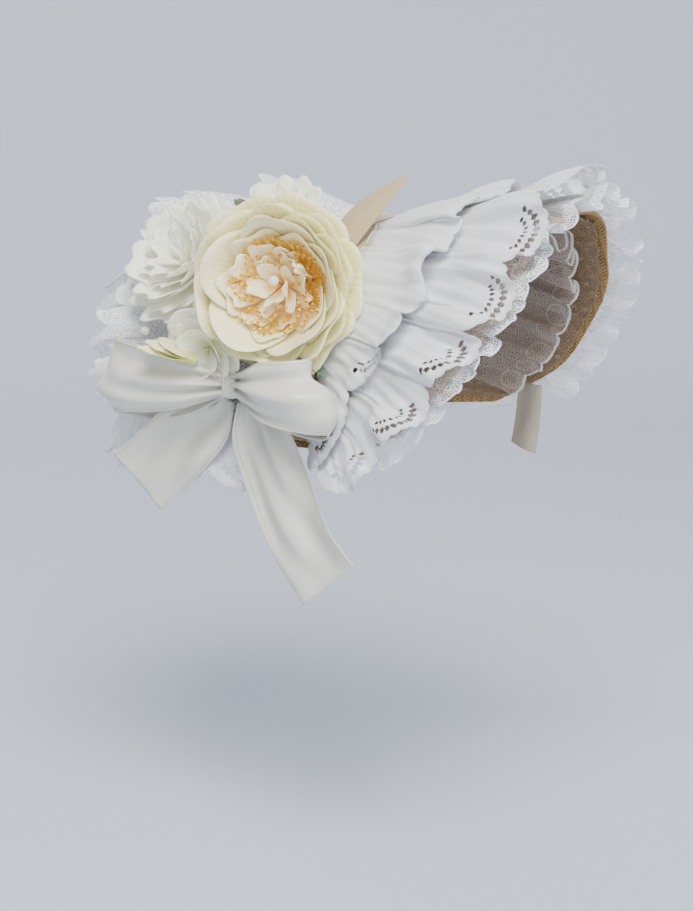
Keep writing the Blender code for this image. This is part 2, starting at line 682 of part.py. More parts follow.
def bow_knot():
    mesh = bpy.data.meshes.new("bow_knot")
    block = bmesh.new()
    bmesh.ops.create_cube(block, size=1.0)
    bmesh.ops.scale(block, vec=(KNOT_DEPTH, KNOT_WIDTH, KNOT_HEIGHT), verts=block.verts)
    bmesh.ops.bevel(block, geom=block.edges[:], offset=KNOT_WIDTH / 4, segments=2,
                    affect="EDGES", profile=0.5)
    block.to_mesh(mesh)
    block.free()
    add("bow_knot", mesh, SATIN_COLOUR, SATIN_ROUGH).location = Vector(bow_centre().tolist())


def far_streamer():
    """Ribbon end that hangs inside the brim's lower left edge."""
    way, side = grid(0.0, 1.0, *STREAMER_GRID)
    foot = brim_surface(np.array(STREAMER_TURN), np.array(1.0))
    x = foot[0] - STREAMER_INSET - STREAMER_CURL * way**2
    y = foot[1] + STREAMER_WIDTH * (0.5 - side)
    cut = STREAMER_WIDTH * STREAMER_SLANT * (side - 0.5) * way
    z = foot[2] - STREAMER_LENGTH * way - cut
    sheet("far_streamer", np.stack((x, y, z), -1), SATIN_WALL, 0.0, SATIN_SHADE_COLOUR, SATIN_ROUGH)


def main():
    for thing in list(bpy.data.objects):
        bpy.data.objects.remove(thing, do_unlink=True)
    straw_crown()
    straw_brim()
    tan_band()
    band_point()
    brim_frills()
    crown_frills()
    base_frill()
    flowers()
    leaves()
    bow_loops()
    bow_tails()
    bow_knot()
    far_streamer()


main()
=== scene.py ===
"""A straw poke bonnet dressed with eyelet frills, net lace, silk flowers and a satin bow.

Metres, +Z up. The wearer faces -Y and the wearer's right side is -X. A place on the straw is a
turn, from 0 at the top to 1 at the wearer's left end (-1 at the right), and a share, which runs
over the crown from the brim to the nape, and over the brim from the crown to the rim.
"""

import bpy
import numpy as np
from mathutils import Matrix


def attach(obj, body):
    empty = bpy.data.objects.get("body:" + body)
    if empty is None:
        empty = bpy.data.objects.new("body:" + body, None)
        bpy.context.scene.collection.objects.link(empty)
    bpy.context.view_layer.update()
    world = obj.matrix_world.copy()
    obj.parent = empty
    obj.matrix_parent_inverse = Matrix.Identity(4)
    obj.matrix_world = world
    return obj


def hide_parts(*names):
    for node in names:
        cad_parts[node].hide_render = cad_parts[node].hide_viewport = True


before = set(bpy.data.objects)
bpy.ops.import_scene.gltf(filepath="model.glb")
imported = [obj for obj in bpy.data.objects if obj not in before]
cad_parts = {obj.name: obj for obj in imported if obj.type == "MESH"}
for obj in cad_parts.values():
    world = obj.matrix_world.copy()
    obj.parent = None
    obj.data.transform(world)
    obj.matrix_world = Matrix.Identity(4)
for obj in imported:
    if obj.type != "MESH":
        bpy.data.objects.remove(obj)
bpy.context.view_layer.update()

# Studio: a pale floor that runs up into a backdrop, a broad soft light above the camera, a weaker
# fill from the right and one more from behind on the left. The camera has the photograph's angle.
CAMERA_AT = (-1.2848, -0.7710, 0.1852)
CAMERA_LOOKS_AT = (-0.0216, -0.0418, -0.1650)
CAMERA_LENS = 82.99
FLOOR_COLOUR = (0.56, 0.605, 0.69, 1.0)
FLOOR_Z = -0.46
FLOOR_STARTS = -0.30
FLOOR_RISES_FROM = 0.55
FLOOR_RISE_RAMP = 0.25
FLOOR_ENDS = 0.68
BACKDROP_REACH = 6.0
SKY_COLOUR = (0.84, 0.87, 0.94, 1.0)
SKY_STRENGTH = 0.60
LIGHTS_LOOK_AT = (0.0, 0.0, -0.1)
# Each light's name, place, size, power and colour.
LIGHTS = (
    ("key_light", (-1.45, -1.0, 2.05), 1.3, 112.0, (1.0, 0.985, 0.96)),
    ("fill_light", (-0.7, -2.2, 0.5), 2.4, 49.0, (0.97, 0.98, 1.0)),
    ("back_light", (0.6, 1.9, 1.4), 2.0, 24.0, (0.95, 0.97, 1.0)),
)
UP = np.array((0.0, 0.0, 1.0))


def aim(thing, at, target):
    """Puts a camera or light at a place, turned so that its own -Z looks at the target."""
    thing.location = at
    away = thing.location.__class__(target) - thing.location
    thing.rotation_euler = away.to_track_quat("-Z", "Y").to_euler()
    bpy.context.scene.collection.objects.link(thing)
    return thing


camera = bpy.data.cameras.new("camera")
camera.lens = CAMERA_LENS
bpy.context.scene.camera = aim(bpy.data.objects.new("camera", camera), CAMERA_AT, CAMERA_LOOKS_AT)
for light_name, light_at, light_size, light_power, light_colour in LIGHTS:
    light = bpy.data.lights.new(light_name, "AREA")
    light.size = light_size
    light.energy = light_power
    light.color = light_colour
    aim(bpy.data.objects.new(light_name, light), light_at, LIGHTS_LOOK_AT)
world = bpy.data.worlds.new("studio")
world.use_nodes = True
world.node_tree.nodes["Background"].inputs["Color"].default_value = SKY_COLOUR
world.node_tree.nodes["Background"].inputs["Strength"].default_value = SKY_STRENGTH
bpy.context.scene.world = world


def stacked(*parts):
    """Numbers or grids joined into vectors, each spread to the shape of the others."""
    return np.stack(np.broadcast_arrays(*parts), -1)


def unit(vectors):
    """The same directions at length 1."""
    return vectors / np.linalg.norm(vectors, axis=-1, keepdims=True)


def eased(low, high, at):
    """0 at low to 1 at high and beyond, smooth at both."""
    ease = np.clip((at - low) / (high - low), 0.0, 1.0)
    return ease**2 * (3 - 2 * ease)


def mesh_of(name, points, flat, turned=False, gone=None):
    """A smooth mesh over one grid of points, or over several grids stacked along a first axis.

    flat gives every point's place on the uncut material and becomes the UV map "cloth". gone
    marks the cells that are cut out as holes.
    """
    if points.ndim == 3:
        points, flat = points[None], flat[None]
    index = np.arange(points[..., 0].size).reshape(points.shape[:3])
    here, after = index[:, :-1], index[:, 1:]
    quads = np.stack((here[..., :-1], here[..., 1:], after[..., 1:], after[..., :-1]), -1)
    quads = quads[:, :, :, ::-1] if turned else quads
    quads = quads.reshape(-1, 4) if gone is None else quads[0][~gone]
    used, quads = np.unique(quads, return_inverse=True)
    quads = quads.reshape(-1, 4)
    mesh = bpy.data.meshes.new(name)
    mesh.from_pydata(points.reshape(-1, 3)[used], [], quads)
    mesh.uv_layers.new(name="cloth").data.foreach_set(
        "uv", flat.reshape(-1, 2)[used][quads.ravel()].astype(np.float32).ravel())
    mesh.shade_smooth()
    thing = bpy.data.objects.new(name, mesh)
    bpy.context.scene.collection.objects.link(thing)
    return thing


def dress(thing, finish, node=None, wall=0.0, offset=0.0):
    """Gives a piece its finish and wall and puts it on the bonnet's one body, in the place of a
    node where one is named."""
    thing.data.materials.append(finish)
    if wall:
        thick = thing.modifiers.new("wall", "SOLIDIFY")
        thick.thickness, thick.offset = wall, offset
    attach(thing, "root")
    if node:
        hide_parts(node)


class Strand:
    """A socket of a finish. The operations set on it below each add a Math node to the finish."""

    def __init__(self, finish, socket):
        self.finish, self.socket = finish, socket

    def step(self, low, high):
        """0 below low to 1 above high, on a smooth ramp. A high below low falls instead."""
        return self.finish.node("ShaderNodeMapRange", {"interpolation_type": "SMOOTHSTEP"},
                                {0: self, 1: low, 2: high, 3: 0.0, 4: 1.0})


def math_node(operation, reflected=False):
    """A method that adds a Math node for a strand and a second value."""
    def work(strand, other=0.0):
        first, second = (other, strand) if reflected else (strand, other)
        return strand.finish.node("ShaderNodeMath", {"operation": operation}, {0: first, 1: second})
    return work


Strand.__add__ = Strand.__radd__ = math_node("ADD")
Strand.__sub__ = math_node("SUBTRACT")
Strand.__rsub__ = math_node("SUBTRACT", reflected=True)
Strand.__mul__ = Strand.__rmul__ = math_node("MULTIPLY")
Strand.__truediv__ = math_node("DIVIDE")
Strand.__pow__ = math_node("POWER")
Strand.__mod__ = math_node("FLOORED_MODULO")
Strand.__abs__ = math_node("ABSOLUTE")
Strand.sine = math_node("SINE")
Strand.larger = math_node("MAXIMUM")


class Finish:
    """A material with the Principled shader, written as expressions on strands."""

    def __init__(self, name, **constants):
        self.material = bpy.data.materials.new(name)
        self.material.use_nodes = True
        self.tree = self.material.node_tree
        self.shader = self.tree.nodes["Principled BSDF"]
        self.wear(**constants)

    def join(self, value, socket):
        if isinstance(value, Strand):
            self.tree.links.new(value.socket, socket)
        else:
            socket.default_value = value

    def node(self, kind, settings=None, inputs=None, out=0):
        """Adds a node: its settings first, then the values or links of its sockets."""
        added = self.tree.nodes.new(kind)
        for key, value in (settings or {}).items():
            setattr(added, key, value)
        for key, value in (inputs or {}).items():
            self.join(value, added.inputs[key])
        return Strand(self, added.outputs[out])

    def wear(self, **sockets):
        """Sets sockets of the shader, named with underscores for blanks."""
        for key, value in sockets.items():
            self.join(value, self.shader.inputs[key.replace("_", " ")])

    def flat(self):
        """Place on the uncut cloth in metres: along it, and across it, and both as a vector."""
        place = self.node("ShaderNodeUVMap", {"uv_map": "cloth"})
        parts = {0: place}
        return (self.node("ShaderNodeSeparateXYZ", {}, parts, 0),
                self.node("ShaderNodeSeparateXYZ", {}, parts, 1), place)

    def stretched(self, x, y):
        return self.node("ShaderNodeCombineXYZ", {}, {0: x, 1: y})

    def noise(self, vector, scale, detail=2.0):
        return self.node("ShaderNodeTexNoise", {},
                         {"Vector": vector, "Scale": scale, "Detail": detail})

    def blend(self, factor, first, second):
        """A colour from first at factor 0 to second at 1."""
        return self.node("ShaderNodeMix", {"data_type": "RGBA"}, {0: factor, 6: first, 7: second},
                         2)

    def bump(self, height, strength, distance):
        self.wear(Normal=self.node("ShaderNodeBump", {}, {"Height": height, "Strength": strength,
                                                          "Distance": distance}))


# The floor runs flat away from the camera and then rises as the square of its way.
floor_way = np.linspace(0.0, 1.0, 33)[:, None, None]
floor_ahead = BACKDROP_REACH * (np.minimum(floor_way, FLOOR_ENDS) + FLOOR_STARTS)
floor_bend = np.clip((floor_way - FLOOR_RISES_FROM) / FLOOR_RISE_RAMP, 0.0, 1.0)
floor_height = BACKDROP_REACH / 2 * floor_bend**2 + FLOOR_Z
floor_side = BACKDROP_REACH * np.linspace(-1.0, 1.0, 9)[None, :, None]
camera_way = unit((np.array(CAMERA_LOOKS_AT) - CAMERA_AT) * (1.0, 1.0, 0.0))
floor_points = (floor_ahead * camera_way + floor_side * np.cross(camera_way, UP)
                + floor_height * UP)
floor = mesh_of("floor", floor_points, floor_points[..., :2])
backdrop_paper = Finish("backdrop_paper", Roughness=0.9, Base_Color=FLOOR_COLOUR)
floor.data.materials.append(backdrop_paper.material)

# Straw crown: plaited straw braid sewn round and round into a deep rounded shell, with a
# slightly sunk seam between one row of braid and the next.
HEAD_HALF_WIDTH = 0.088
CROWN_HEIGHT = 0.145
CROWN_DEPTH = 0.200
CROWN_FULLNESS = 3.0
JUNCTION_REACH = 0.065
STRAW_WALL = 0.0025
BRAID_WIDTH = 0.0072
BRAID_SWELL = 0.0006
STRAND_PITCH = 0.0034
STRAND_SLANT = 2.4
STRAW_LIGHT = (0.46, 0.29, 0.10, 1.0)
STRAW_DARK = (0.16, 0.085, 0.022, 1.0)
JUNCTION = {
    "turn": (0.00, 0.14, 0.28, 0.42, 0.56, 0.72, 0.86, 1.00),
    "width": (0.00, 0.34, 0.64, 0.85, 0.96, 1.00, 1.00, 0.98),
    "drop": (0.00, 0.02, 0.10, 0.24, 0.41, 0.63, 0.82, 1.00),
    "reach": (1.00, 1.00, 0.99, 0.96, 0.93, 0.89, 0.84, 0.80),
}


def read(table, column, at, level_start=False):
    """Reads a column of a table on a smooth cubic through its rows, and straight on past them."""
    keys = np.array(next(iter(table.values())), float)
    values = np.array(table[column], float)
    slopes = np.gradient(values, keys)
    if level_start:
        slopes[0] = 0.0
    past = np.maximum(at - keys[-1], 0.0)
    at = np.minimum(at, keys[-1])
    row = np.clip(np.searchsorted(keys, at, side="right") - 1, 0, len(keys) - 2)
    step = keys[row + 1] - keys[row]
    t = (at - keys[row]) / step
    start = (2 * t**3 - 3 * t**2 + 1) * values[row] + (t**3 - 2 * t**2 + t) * step * slopes[row]
    end = (3 * t**2 - 2 * t**3) * values[row + 1] + (t**3 - t**2) * step * slopes[row + 1]
    return start + end + past * slopes[-1]


def arch(table, turn, width, reach_start, reach):
    """An arch over the head: widths, reaches and drops read from a table at the turn."""
    at = np.abs(turn)
    return stacked(width * read(table, "width", at) * np.sign(turn),
                   -reach_start - reach * read(table, "reach", at, level_start=True),
                   -CROWN_HEIGHT * read(table, "drop", at, level_start=True))


def junction(turn):
    """Arch on which the crown and the brim meet."""
    return arch(JUNCTION, turn, HEAD_HALF_WIDTH, 0.0, JUNCTION_REACH)


def crown_surface(turn, share):
    """The junction's arch, drawn in by (1 - share^n)^(1/n) as it runs back to the nape."""
    front = junction(turn)
    round_off = np.clip(1.0 - np.abs(share)**CROWN_FULLNESS, 0.0, 1.0) ** (1.0 / CROWN_FULLNESS)
    height = (front[..., 2] + CROWN_HEIGHT) * round_off - CROWN_HEIGHT
    back = front[..., 1] + (CROWN_DEPTH - JUNCTION_REACH - front[..., 1]) * share
    return stacked(front[..., 0] * round_off, back, height)


def outward(surface, turn, share):
    """Unit normals of the crown or brim surface: the cross product of its two directions."""
    step = 1e-3
    share = np.minimum(share, 0.99)
    along = surface(turn + step, share) - surface(turn - step, share)
    across = surface(turn, share + step) - surface(turn, share - step)
    return unit(np.cross(along, across) if surface is crown_surface else np.cross(across, along))


def lifted(surface, turn, share, height):
    """Points at a height over the crown or brim surface."""
    return surface(turn, share) + outward(surface, turn, share) * height[..., None]


def nape_share(quarter):
    """Share along the crown's lower edge: sin(quarter turn)^(2/n), 0 at the ear, 1 at the nape."""
    return np.sin(quarter * np.pi / 2) ** (2.0 / CROWN_FULLNESS)


def grid(first, last, count, rows):
    """Values from first to last down the rows and from 0 to 1 across the columns."""
    return np.meshgrid(np.linspace(first, last, count), np.linspace(0.0, 1.0, rows), indexing="ij")


def run(points, axis):
    """Length covered so far along one axis of a grid of points."""
    steps = np.linalg.norm(np.diff(points, axis=axis), axis=-1)
    return np.concatenate((np.zeros_like(np.take(steps, [0], axis)), np.cumsum(steps, axis)), axis)


def plaited_straw():
    """Braid rows a BRAID_WIDTH wide, each a herringbone of strands that slant from its middle, with
    painted shade in the dips between the strands.
    """
    straw = Finish("plaited_straw", Roughness=0.55, Specular_IOR_Level=0.35)
    along, across, place = straw.flat()
    row = across / BRAID_WIDTH
    side = abs(row % 1.0 - 0.5)
    strand = (along / STRAND_PITCH + side * STRAND_SLANT) * (2 * np.pi)
    strand_lift_and_shade = (strand.sine() * 0.5 + 0.5) * side.step(0.5, 0.36)
    long_grain = straw.noise(straw.stretched(along * 90.0, across * 700.0), 1.0, 3.0)
    blotch = straw.noise(place, 38.0)
    # Painted shade: the colour darkens in the dips between strands, following their height; the
    # grain and blotches are the straw's own tone.
    tone = strand_lift_and_shade * 0.45 + long_grain * 0.5 + blotch * 0.35 - 0.15
    straw.wear(Base_Color=straw.blend(tone.step(0.15, 0.95), STRAW_DARK, STRAW_LIGHT))
    straw.bump(strand_lift_and_shade + long_grain * 0.25, 0.8, 0.0012)
    return straw.material


straw_finish = plaited_straw()


def straw_shell(name, surface, turn, share, node, turned):
    """Braid rows that swell by |sin| of the distance sewn so far, with the straw's wall."""
    base = surface(turn, share)
    along, across = run(base, 0).max(axis=1, keepdims=True), run(base, 1)
    swell = BRAID_SWELL * (np.abs(np.sin(np.pi * across / BRAID_WIDTH)) ** 0.5 - 1.0)
    shell = mesh_of(name, lifted(surface, turn, share, swell), stacked(along, across),
                    turned=turned)
    dress(shell, straw_finish, node, STRAW_WALL, 1.0)


crown_turn, crown_quarter = grid(-1.0, 1.0, 97, 60)
straw_shell("straw_crown", crown_surface, crown_turn, nape_share(crown_quarter) * (1.0 - 1e-4),
            "crown", True)

# Straw brim: the same braid, flared into a deep poke whose last row is left bare at the rim.
# It meets the crown along the band.
BRIM_REACH = 0.142
RIM_HALF_WIDTH = 0.119
BRIM_SEAM = 0.0024
RIM = {
    "turn": (0.00, 0.14, 0.28, 0.42, 0.56, 0.72, 0.86, 1.00),
    "width": (0.00, 0.38, 0.63, 0.80, 0.925, 1.00, 0.99, 0.95),
    "drop": (-0.10, -0.045, 0.165, 0.36, 0.55, 0.77, 0.90, 1.00),
    "reach": (1.00, 0.985, 0.93, 0.865, 0.74, 0.57, 0.38, 0.20),
}


def rim(turn):
    """Front edge of the brim."""
    return arch(RIM, turn, RIM_HALF_WIDTH, JUNCTION_REACH, BRIM_REACH)


def brim_surface(turn, share):
    """Straight lines from the junction to the rim, and on past it."""
    back, front = junction(turn), rim(turn)
    return back + (front - back) * share[..., None]


def brim_length(turn):
    """Straight length of the brim's straw at a turn."""
    return np.linalg.norm(rim(turn) - junction(turn), axis=-1)


brim_turn, brim_share = grid(-1.0, 1.0, 161, 70)
brim_first = BRIM_SEAM / brim_length(brim_turn)
straw_shell("straw_brim", brim_surface, brim_turn, brim_first + (1.0 - brim_first) * brim_share,
            "brim", False)

# White eyelet frills: cotton lawn with an embroidered edge. Each large scallop carries a fan of
# two rows of oval holes and is trimmed with small scallops; the other edge is gathered and sewn.
LAYER_STEP = 0.0026
HEADER_RAMP = 0.08
FRILL_BEND = 1.4
END_EASE = 0.45
END_SAG = 0.026
SAG_FROM = 0.60
SAG_FLARE = 0.60
SAG_SHARE = 0.5
PRESSED_SHARE = 0.12
PRESS_RADIUS = 0.050
PRESS_FADE = 0.026
PRESSED_AT = (
    (-1.0, -0.16, 0.20), (-1.0, -0.34, 0.28), (-0.90, 0.20, 0.14), (-1.10, 0.08, 0.66),
    (-1.10, -0.30, 0.74),
)
CLOTH_WALL = 0.0004
WEAVE_PITCH = 0.0011
STITCH_PITCH = 0.0009
SCALLOP_DEPTH = 0.015
SCALLOP_ROUND = 0.96
EDGE_ZONE = 0.028
COLUMNS_BEHIND_ZONE = 0.26
SMALL_SCALLOPS = (9, 0.0016)
FAN_REACH = 0.0290
HOLE_ROWS = {
    "radius": (0.0225, 0.0145),
    "count": (11, 8),
    "step": (0.205, 0.270),
    "half_width": (0.0017, 0.0013),
    "half_length": (0.0031, 0.0022),
}
TUCK_TURNS = (0.50, 0.64)
TUCK_FOLD = 0.74
EAR_TURNS = (0.50, 0.80)
TOP_TURNS = (0.05, 0.45)
FOLD_GROWTH = 0.7
FOLD_STRAY = 0.022
NESTLE = 0.7
EYELET_WHITE = (0.88, 0.89, 0.93, 1.0)
# Painted shade: the warm tint of the straw showing through the thin eyelet cotton.
EYELET_SHOWTHROUGH_SHADE = (0.74, 0.67, 0.58, 1.0)


def sag(turn, share, first):
    """How far cloth on the brim hangs down and out towards the ears, more the further it is past
    the share called first."""
    drop = END_SAG * eased(SAG_FROM, 1.0, np.abs(turn)) * np.maximum(share - first, 0.0)
    return stacked(SAG_FLARE * drop * np.sign(turn), 0.0, -drop)


def pressed(points):
    """How much of its height a frill keeps: little under the flowers and the bow."""
    keeps = np.ones(points.shape[:-1])
    for place in PRESSED_AT:
        centre = np.array(place) * (HEAD_HALF_WIDTH, CROWN_DEPTH, -CROWN_HEIGHT)
        away = np.linalg.norm(points - centre, axis=-1)
        free = eased(PRESS_RADIUS, PRESS_RADIUS + PRESS_FADE, away)
        keeps = np.minimum(keeps, PRESSED_SHARE + (1.0 - PRESSED_SHARE) * free)
    return keeps


def wander(at, seed):
    """A smooth curve from -1 to 1 that never repeats: the mean of four sines of other pitches."""
    return sum(np.sin(at * pitch + seed * (k + 1.7)) for k, pitch in
               enumerate((3.1, 7.3, 12.7, 19.9))) / 4.0


class Frill:
    """A gathered strip, sewn to a surface along the start share and free along the end share.

    Its folds grow from the sewn edge to the free one. rise is the free edge's height, swing the
    height of its folds, pleats that of the gathers and crumple that of soft dents across them.
    Crests roll over by roll and droop to one side by droop. inset is how far the sewn edge stands
    past the start, and overhang the free one past the end, by near more on the wearer's right.
    beneath is the frill that it lies over. shorter is how much less of the surface it covers at
    the ears, and hangs the share from which it hangs down there. heading is how far the sewn edge
    stands up in folds. Over the top of the head the free edge is turned under, puff thick, and
    reaches further, and the folds keep top more of their height.
    """

    inset = overhang = near = shorter = further = heading = puff = 0.0
    roll = droop = pleats = crumple = top = 0.0
    beneath, inner, hangs, seed = None, False, SAG_SHARE, 1.0

    def __init__(self, surface, start, end, rise, swing, folds, **others):
        self.surface, self.start, self.end = surface, start, end
        self.rise, self.swing, self.folds = rise, swing, folds
        vars(self).update(others)

    def sewn_edge(self, turn):
        return self.start + (self.inset / brim_length(turn) if self.inset else 0.0)

    def free_edge(self, turn):
        edge = self.end - self.shorter * eased(*EAR_TURNS, np.abs(turn))
        if self.overhang:
            edge = edge + (self.overhang + self.near * eased(0.3, -0.5, turn)) / brim_length(turn)
        uneven = 0.55 + 0.9 * wander(turn * 3.0, self.seed)
        return edge + self.further * self.tucked(turn) * uneven

    def tucked(self, turn):
        """1 over the top of the head, where the free edge is turned under, to 0 at the ears."""
        return 1.0 - eased(*TUCK_TURNS, np.abs(turn)) if self.puff else 0.0 * turn

    def length(self, turn):
        """Distance from the sewn edge to the free one."""
        ends = [self.surface(turn, edge + 0.0 * turn) for edge in
                (self.sewn_edge(turn), self.free_edge(turn))]
        return np.linalg.norm(ends[1] - ends[0], axis=-1)

    def keeps(self, turn, share):
        """How much of their height the folds keep: less towards the ears and under the bow."""
        ends = 1.0 - END_EASE * np.minimum(np.abs(turn), 1.0) ** 5
        ends = ends * (1.0 + self.top * (1.0 - eased(*TOP_TURNS, np.abs(turn))))
        return ends if self.inner else ends * pressed(self.surface(turn, np.clip(share, 0, 1)))

    def seat(self, turn, share):
        """Height of the middle of the strip where its folds lie flat."""
        if self.beneath is None:
            return (0.0 if self.inner else STRAW_WALL) + LAYER_STEP / 2 + 0.0 * share
        return self.beneath.clear(turn, share)

    def clear(self, turn, share):
        """Height that a strip over this one keeps, nestled a little into its folds, with a short
        ramp before its sewn edge."""
        toward = 1.0 if self.end > self.start else -1.0
        ramp = np.clip(1.0 + toward * (share - self.start) / HEADER_RAMP, 0.0, 1.0)
        first, last = self.sewn_edge(turn), self.free_edge(turn)
        way = np.clip((share - first) / (last - first), 0.0, 1.0)
        folds = self.rise * way**FRILL_BEND + self.swing * way**FOLD_GROWTH
        return self.seat(turn, share) + ramp * LAYER_STEP + NESTLE * self.keeps(turn, share) * folds

    def wave(self, turn):
        """Folds from 0 in a valley to 1 on a crest, uneven in size."""
        turn = turn + FOLD_STRAY * wander(turn * 2.1, self.seed)
        return np.pi * self.folds * turn, 0.74 + 0.45 * wander(turn * 4.3, self.seed + 2.0)

    def at(self, turn, way):
        """Points of the strip: seat + rise way^bend + swing way^growth (1 + sin)/2, out along the
        surface's normal, with crests rolled over, drooping sideways, and gathers at the header."""
        phase, size = self.wave(turn)
        crest = 0.5 + 0.5 * np.sin(phase)
        under = self.tucked(turn)
        turned_in = np.clip((way - TUCK_FOLD) / 0.10, -1.0, 1.0)
        puff = self.puff * under * (0.75 - 0.75 * np.sin(turned_in * np.pi / 2))
        puff = puff * np.clip(way * 6.0, 0.0, 1.0)
        heading = self.heading * np.exp(-9.0 * way) * (0.45 + 0.55 * np.sin(phase + 1.0))
        way = way + under * (np.minimum(way, 2 * TUCK_FOLD - way) / TUCK_FOLD - way)
        grown = way**FOLD_GROWTH
        aside = self.droop * turn / (np.abs(turn) + 0.2) * crest - self.roll * np.sin(2 * phase)
        turn = turn + grown * aside * np.clip(size, 0.3, 1.0) / (np.pi * self.folds)
        share = self.sewn_edge(turn) + (self.free_edge(turn) - self.sewn_edge(turn)) * way
        keeps = self.keeps(turn, share)
        folds = self.rise * way**FRILL_BEND + self.swing * grown * crest * np.clip(size, 0.2, 1.0)
        gathers = (self.pleats * np.sin(phase * 4.0 + 2.0 * np.sin(phase * 1.3))
                   * np.sin(np.pi * np.clip(way * 0.9 + 0.12, 0.0, 1.0)) ** 0.5 * (1.1 - way))
        height = self.seat(turn, share) + keeps * folds + gathers * (0.4 + 0.6 * keeps)
        dents = np.sin(np.pi * np.clip(way * 0.9, 0.0, 1.0)) * (
            0.45 + 0.55 * wander(turn * 9.0 + way * 0.5, self.seed + 5.0))
        height = height + (puff + heading + self.crumple * dents) * (0.3 + 0.7 * keeps)
        height = -height if self.inner else height
        points = lifted(self.surface, turn, share, height)
        if self.surface is brim_surface and not self.inner:
            points = points + sag(turn, share, self.hangs)
        return points


def fan_of_holes(along, back, pitch):
    """Nearest embroidered hole of every point, as its centre, its own direction and half sizes.

    The holes of a scallop lie on two arcs about the fan's foot, a hole's length along the arc's
    radius. Returns the distance from the hole's middle as a share of its size, and the point
    moved onto the hole's edge.
    """
    tip = (np.floor(along / pitch) + 0.5) * pitch
    x, y = along - tip, FAN_REACH - back
    best, moved_x, moved_y = np.full(along.shape, 9.0), x.copy(), y.copy()
    for radius, count, step, half_width, half_length in zip(*HOLE_ROWS.values()):
        number = np.clip(np.round(np.arctan2(x, y) / step + (count - 1) / 2), 0, count - 1)
        angle = (number - (count - 1) / 2) * step
        off_x, off_y = x - radius * np.sin(angle), y - radius * np.cos(angle)
        out = off_x * np.sin(angle) + off_y * np.cos(angle)
        side = off_x * np.cos(angle) - off_y * np.sin(angle)
        size = np.sqrt((out / half_length) ** 2 + (side / half_width) ** 2)
        nearer = size < best
        scale = 1.0 / np.maximum(size, 0.3)
        moved_x = np.where(nearer, radius * np.sin(angle) + off_x * scale, moved_x)
        moved_y = np.where(nearer, radius * np.cos(angle) + off_y * scale, moved_y)
        best = np.where(nearer, size, best)
    return best, tip + moved_x, FAN_REACH - moved_y


def strip(name, place, length, ends, scallops, depth, columns, rows, turned=False, holes=None,
          small=(0, 0.0)):
    """A strip of cloth with a scalloped free edge.

    Rows of the grid run along the strip by its flat length, and its columns from the sewn edge
    to the free one, closer together near the edge. The edge stands back from the scallops' tips
    by depth (1 - sqrt(1 - round x^2)), with small scallops |sin| beyond it, given as their number
    on a large one and their depth. Holes are cut from the turn called holes on towards the ears.
    """
    fine = np.linspace(-ends, ends, 4001)
    lengths = run(place(fine, np.ones_like(fine)), 0)
    pitch = lengths[-1] / scallops
    along, way = grid(0.0, lengths[-1], scallops * columns + 1, rows)
    turn = np.interp(along, lengths, fine)
    whole = length(turn)
    zone = min(EDGE_ZONE, float(whole.min()) * 0.8)
    back = np.where(way < COLUMNS_BEHIND_ZONE,
                    whole + (zone - whole) * way / COLUMNS_BEHIND_ZONE,
                    zone * (1.0 - way) / (1.0 - COLUMNS_BEHIND_ZONE))
    from_tip = 2.0 * np.abs((along / pitch) % 1.0 - 0.5)
    deepest = 1.0 - np.sqrt(1.0 - SCALLOP_ROUND)
    cut = depth * (1.0 - np.sqrt(1.0 - SCALLOP_ROUND * from_tip**2)) / deepest
    back = back * (1.0 - cut / whole) + cut
    gone = None
    if holes is not None:
        size, hole_along, hole_back = fan_of_holes(along, back, pitch)
        middle = (size[:-1, :-1] + size[1:, :-1] + size[:-1, 1:] + size[1:, 1:]) / 4.0
        gone = (middle < 1.0) & (np.abs(turn[:-1, :-1]) >= holes)
        touched = np.zeros(size.shape, bool)
        for rows_from, columns_from in ((0, 0), (0, 1), (1, 0), (1, 1)):
            touched[rows_from:rows_from + gone.shape[0],
                    columns_from:columns_from + gone.shape[1]] |= gone
        along = np.where(touched, hole_along, along)
        back = np.where(touched, hole_back, back)
        turn = np.interp(along, lengths, fine)
    if small[0]:
        bulge = small[1] * np.abs(np.sin(np.pi * small[0] * along / pitch)) ** 0.8
        back = back - bulge * np.clip(1.0 - (back - cut) / (2.0 * small[1]), 0.0, 1.0)
    points = place(turn, np.maximum(1.0 - back / length(turn), 0.0))
    thing = mesh_of(name, points, np.stack((along, back - cut), -1), turned=turned, gone=gone)
    thing["strip_length"], thing["strip_width"] = float(lengths[-1]), float(whole.mean())
    return thing


def sew(thing, finish, node, wall=CLOTH_WALL):
    dress(thing, finish, node, wall)


def eyelet_cotton():
    """White lawn: a fine weave, creases and a stitched band at the edge, with painted warm shade
    towards the sewn edge where the straw shows through the thin cloth.
    """
    cotton = Finish("eyelet_cotton", Roughness=0.85, Sheen_Weight=0.25, Subsurface_Weight=0.30,
                    Subsurface_Scale=0.003, Subsurface_Radius=(1.0, 1.0, 1.0),
                    Specular_IOR_Level=0.2)
    along, across, place = cotton.flat()
    threads = 2 * np.pi / WEAVE_PITCH
    weave = (along * threads).sine() * (across * threads).sine()
    stitches = (along * (2 * np.pi / STITCH_PITCH)).sine() * across.step(0.0022, 0.0006)
    soft = cotton.noise(place, 24.0)
    # Painted shade: warm patches, stronger towards the sewn edge, stand for the straw showing
    # through the thin cloth.
    painted_showthrough_shade = (soft.step(0.45, 0.8) * across.step(0.012, 0.05)) * 0.42
    cotton.wear(Base_Color=cotton.blend(painted_showthrough_shade, EYELET_WHITE, EYELET_SHOWTHROUGH_SHADE))
    cotton.bump(weave * 0.2 + stitches * 0.8 + cotton.noise(place, 110.0, 4.0) * 2.2, 0.6, 0.0008)
    return cotton.material


cotton_finish = eyelet_cotton()
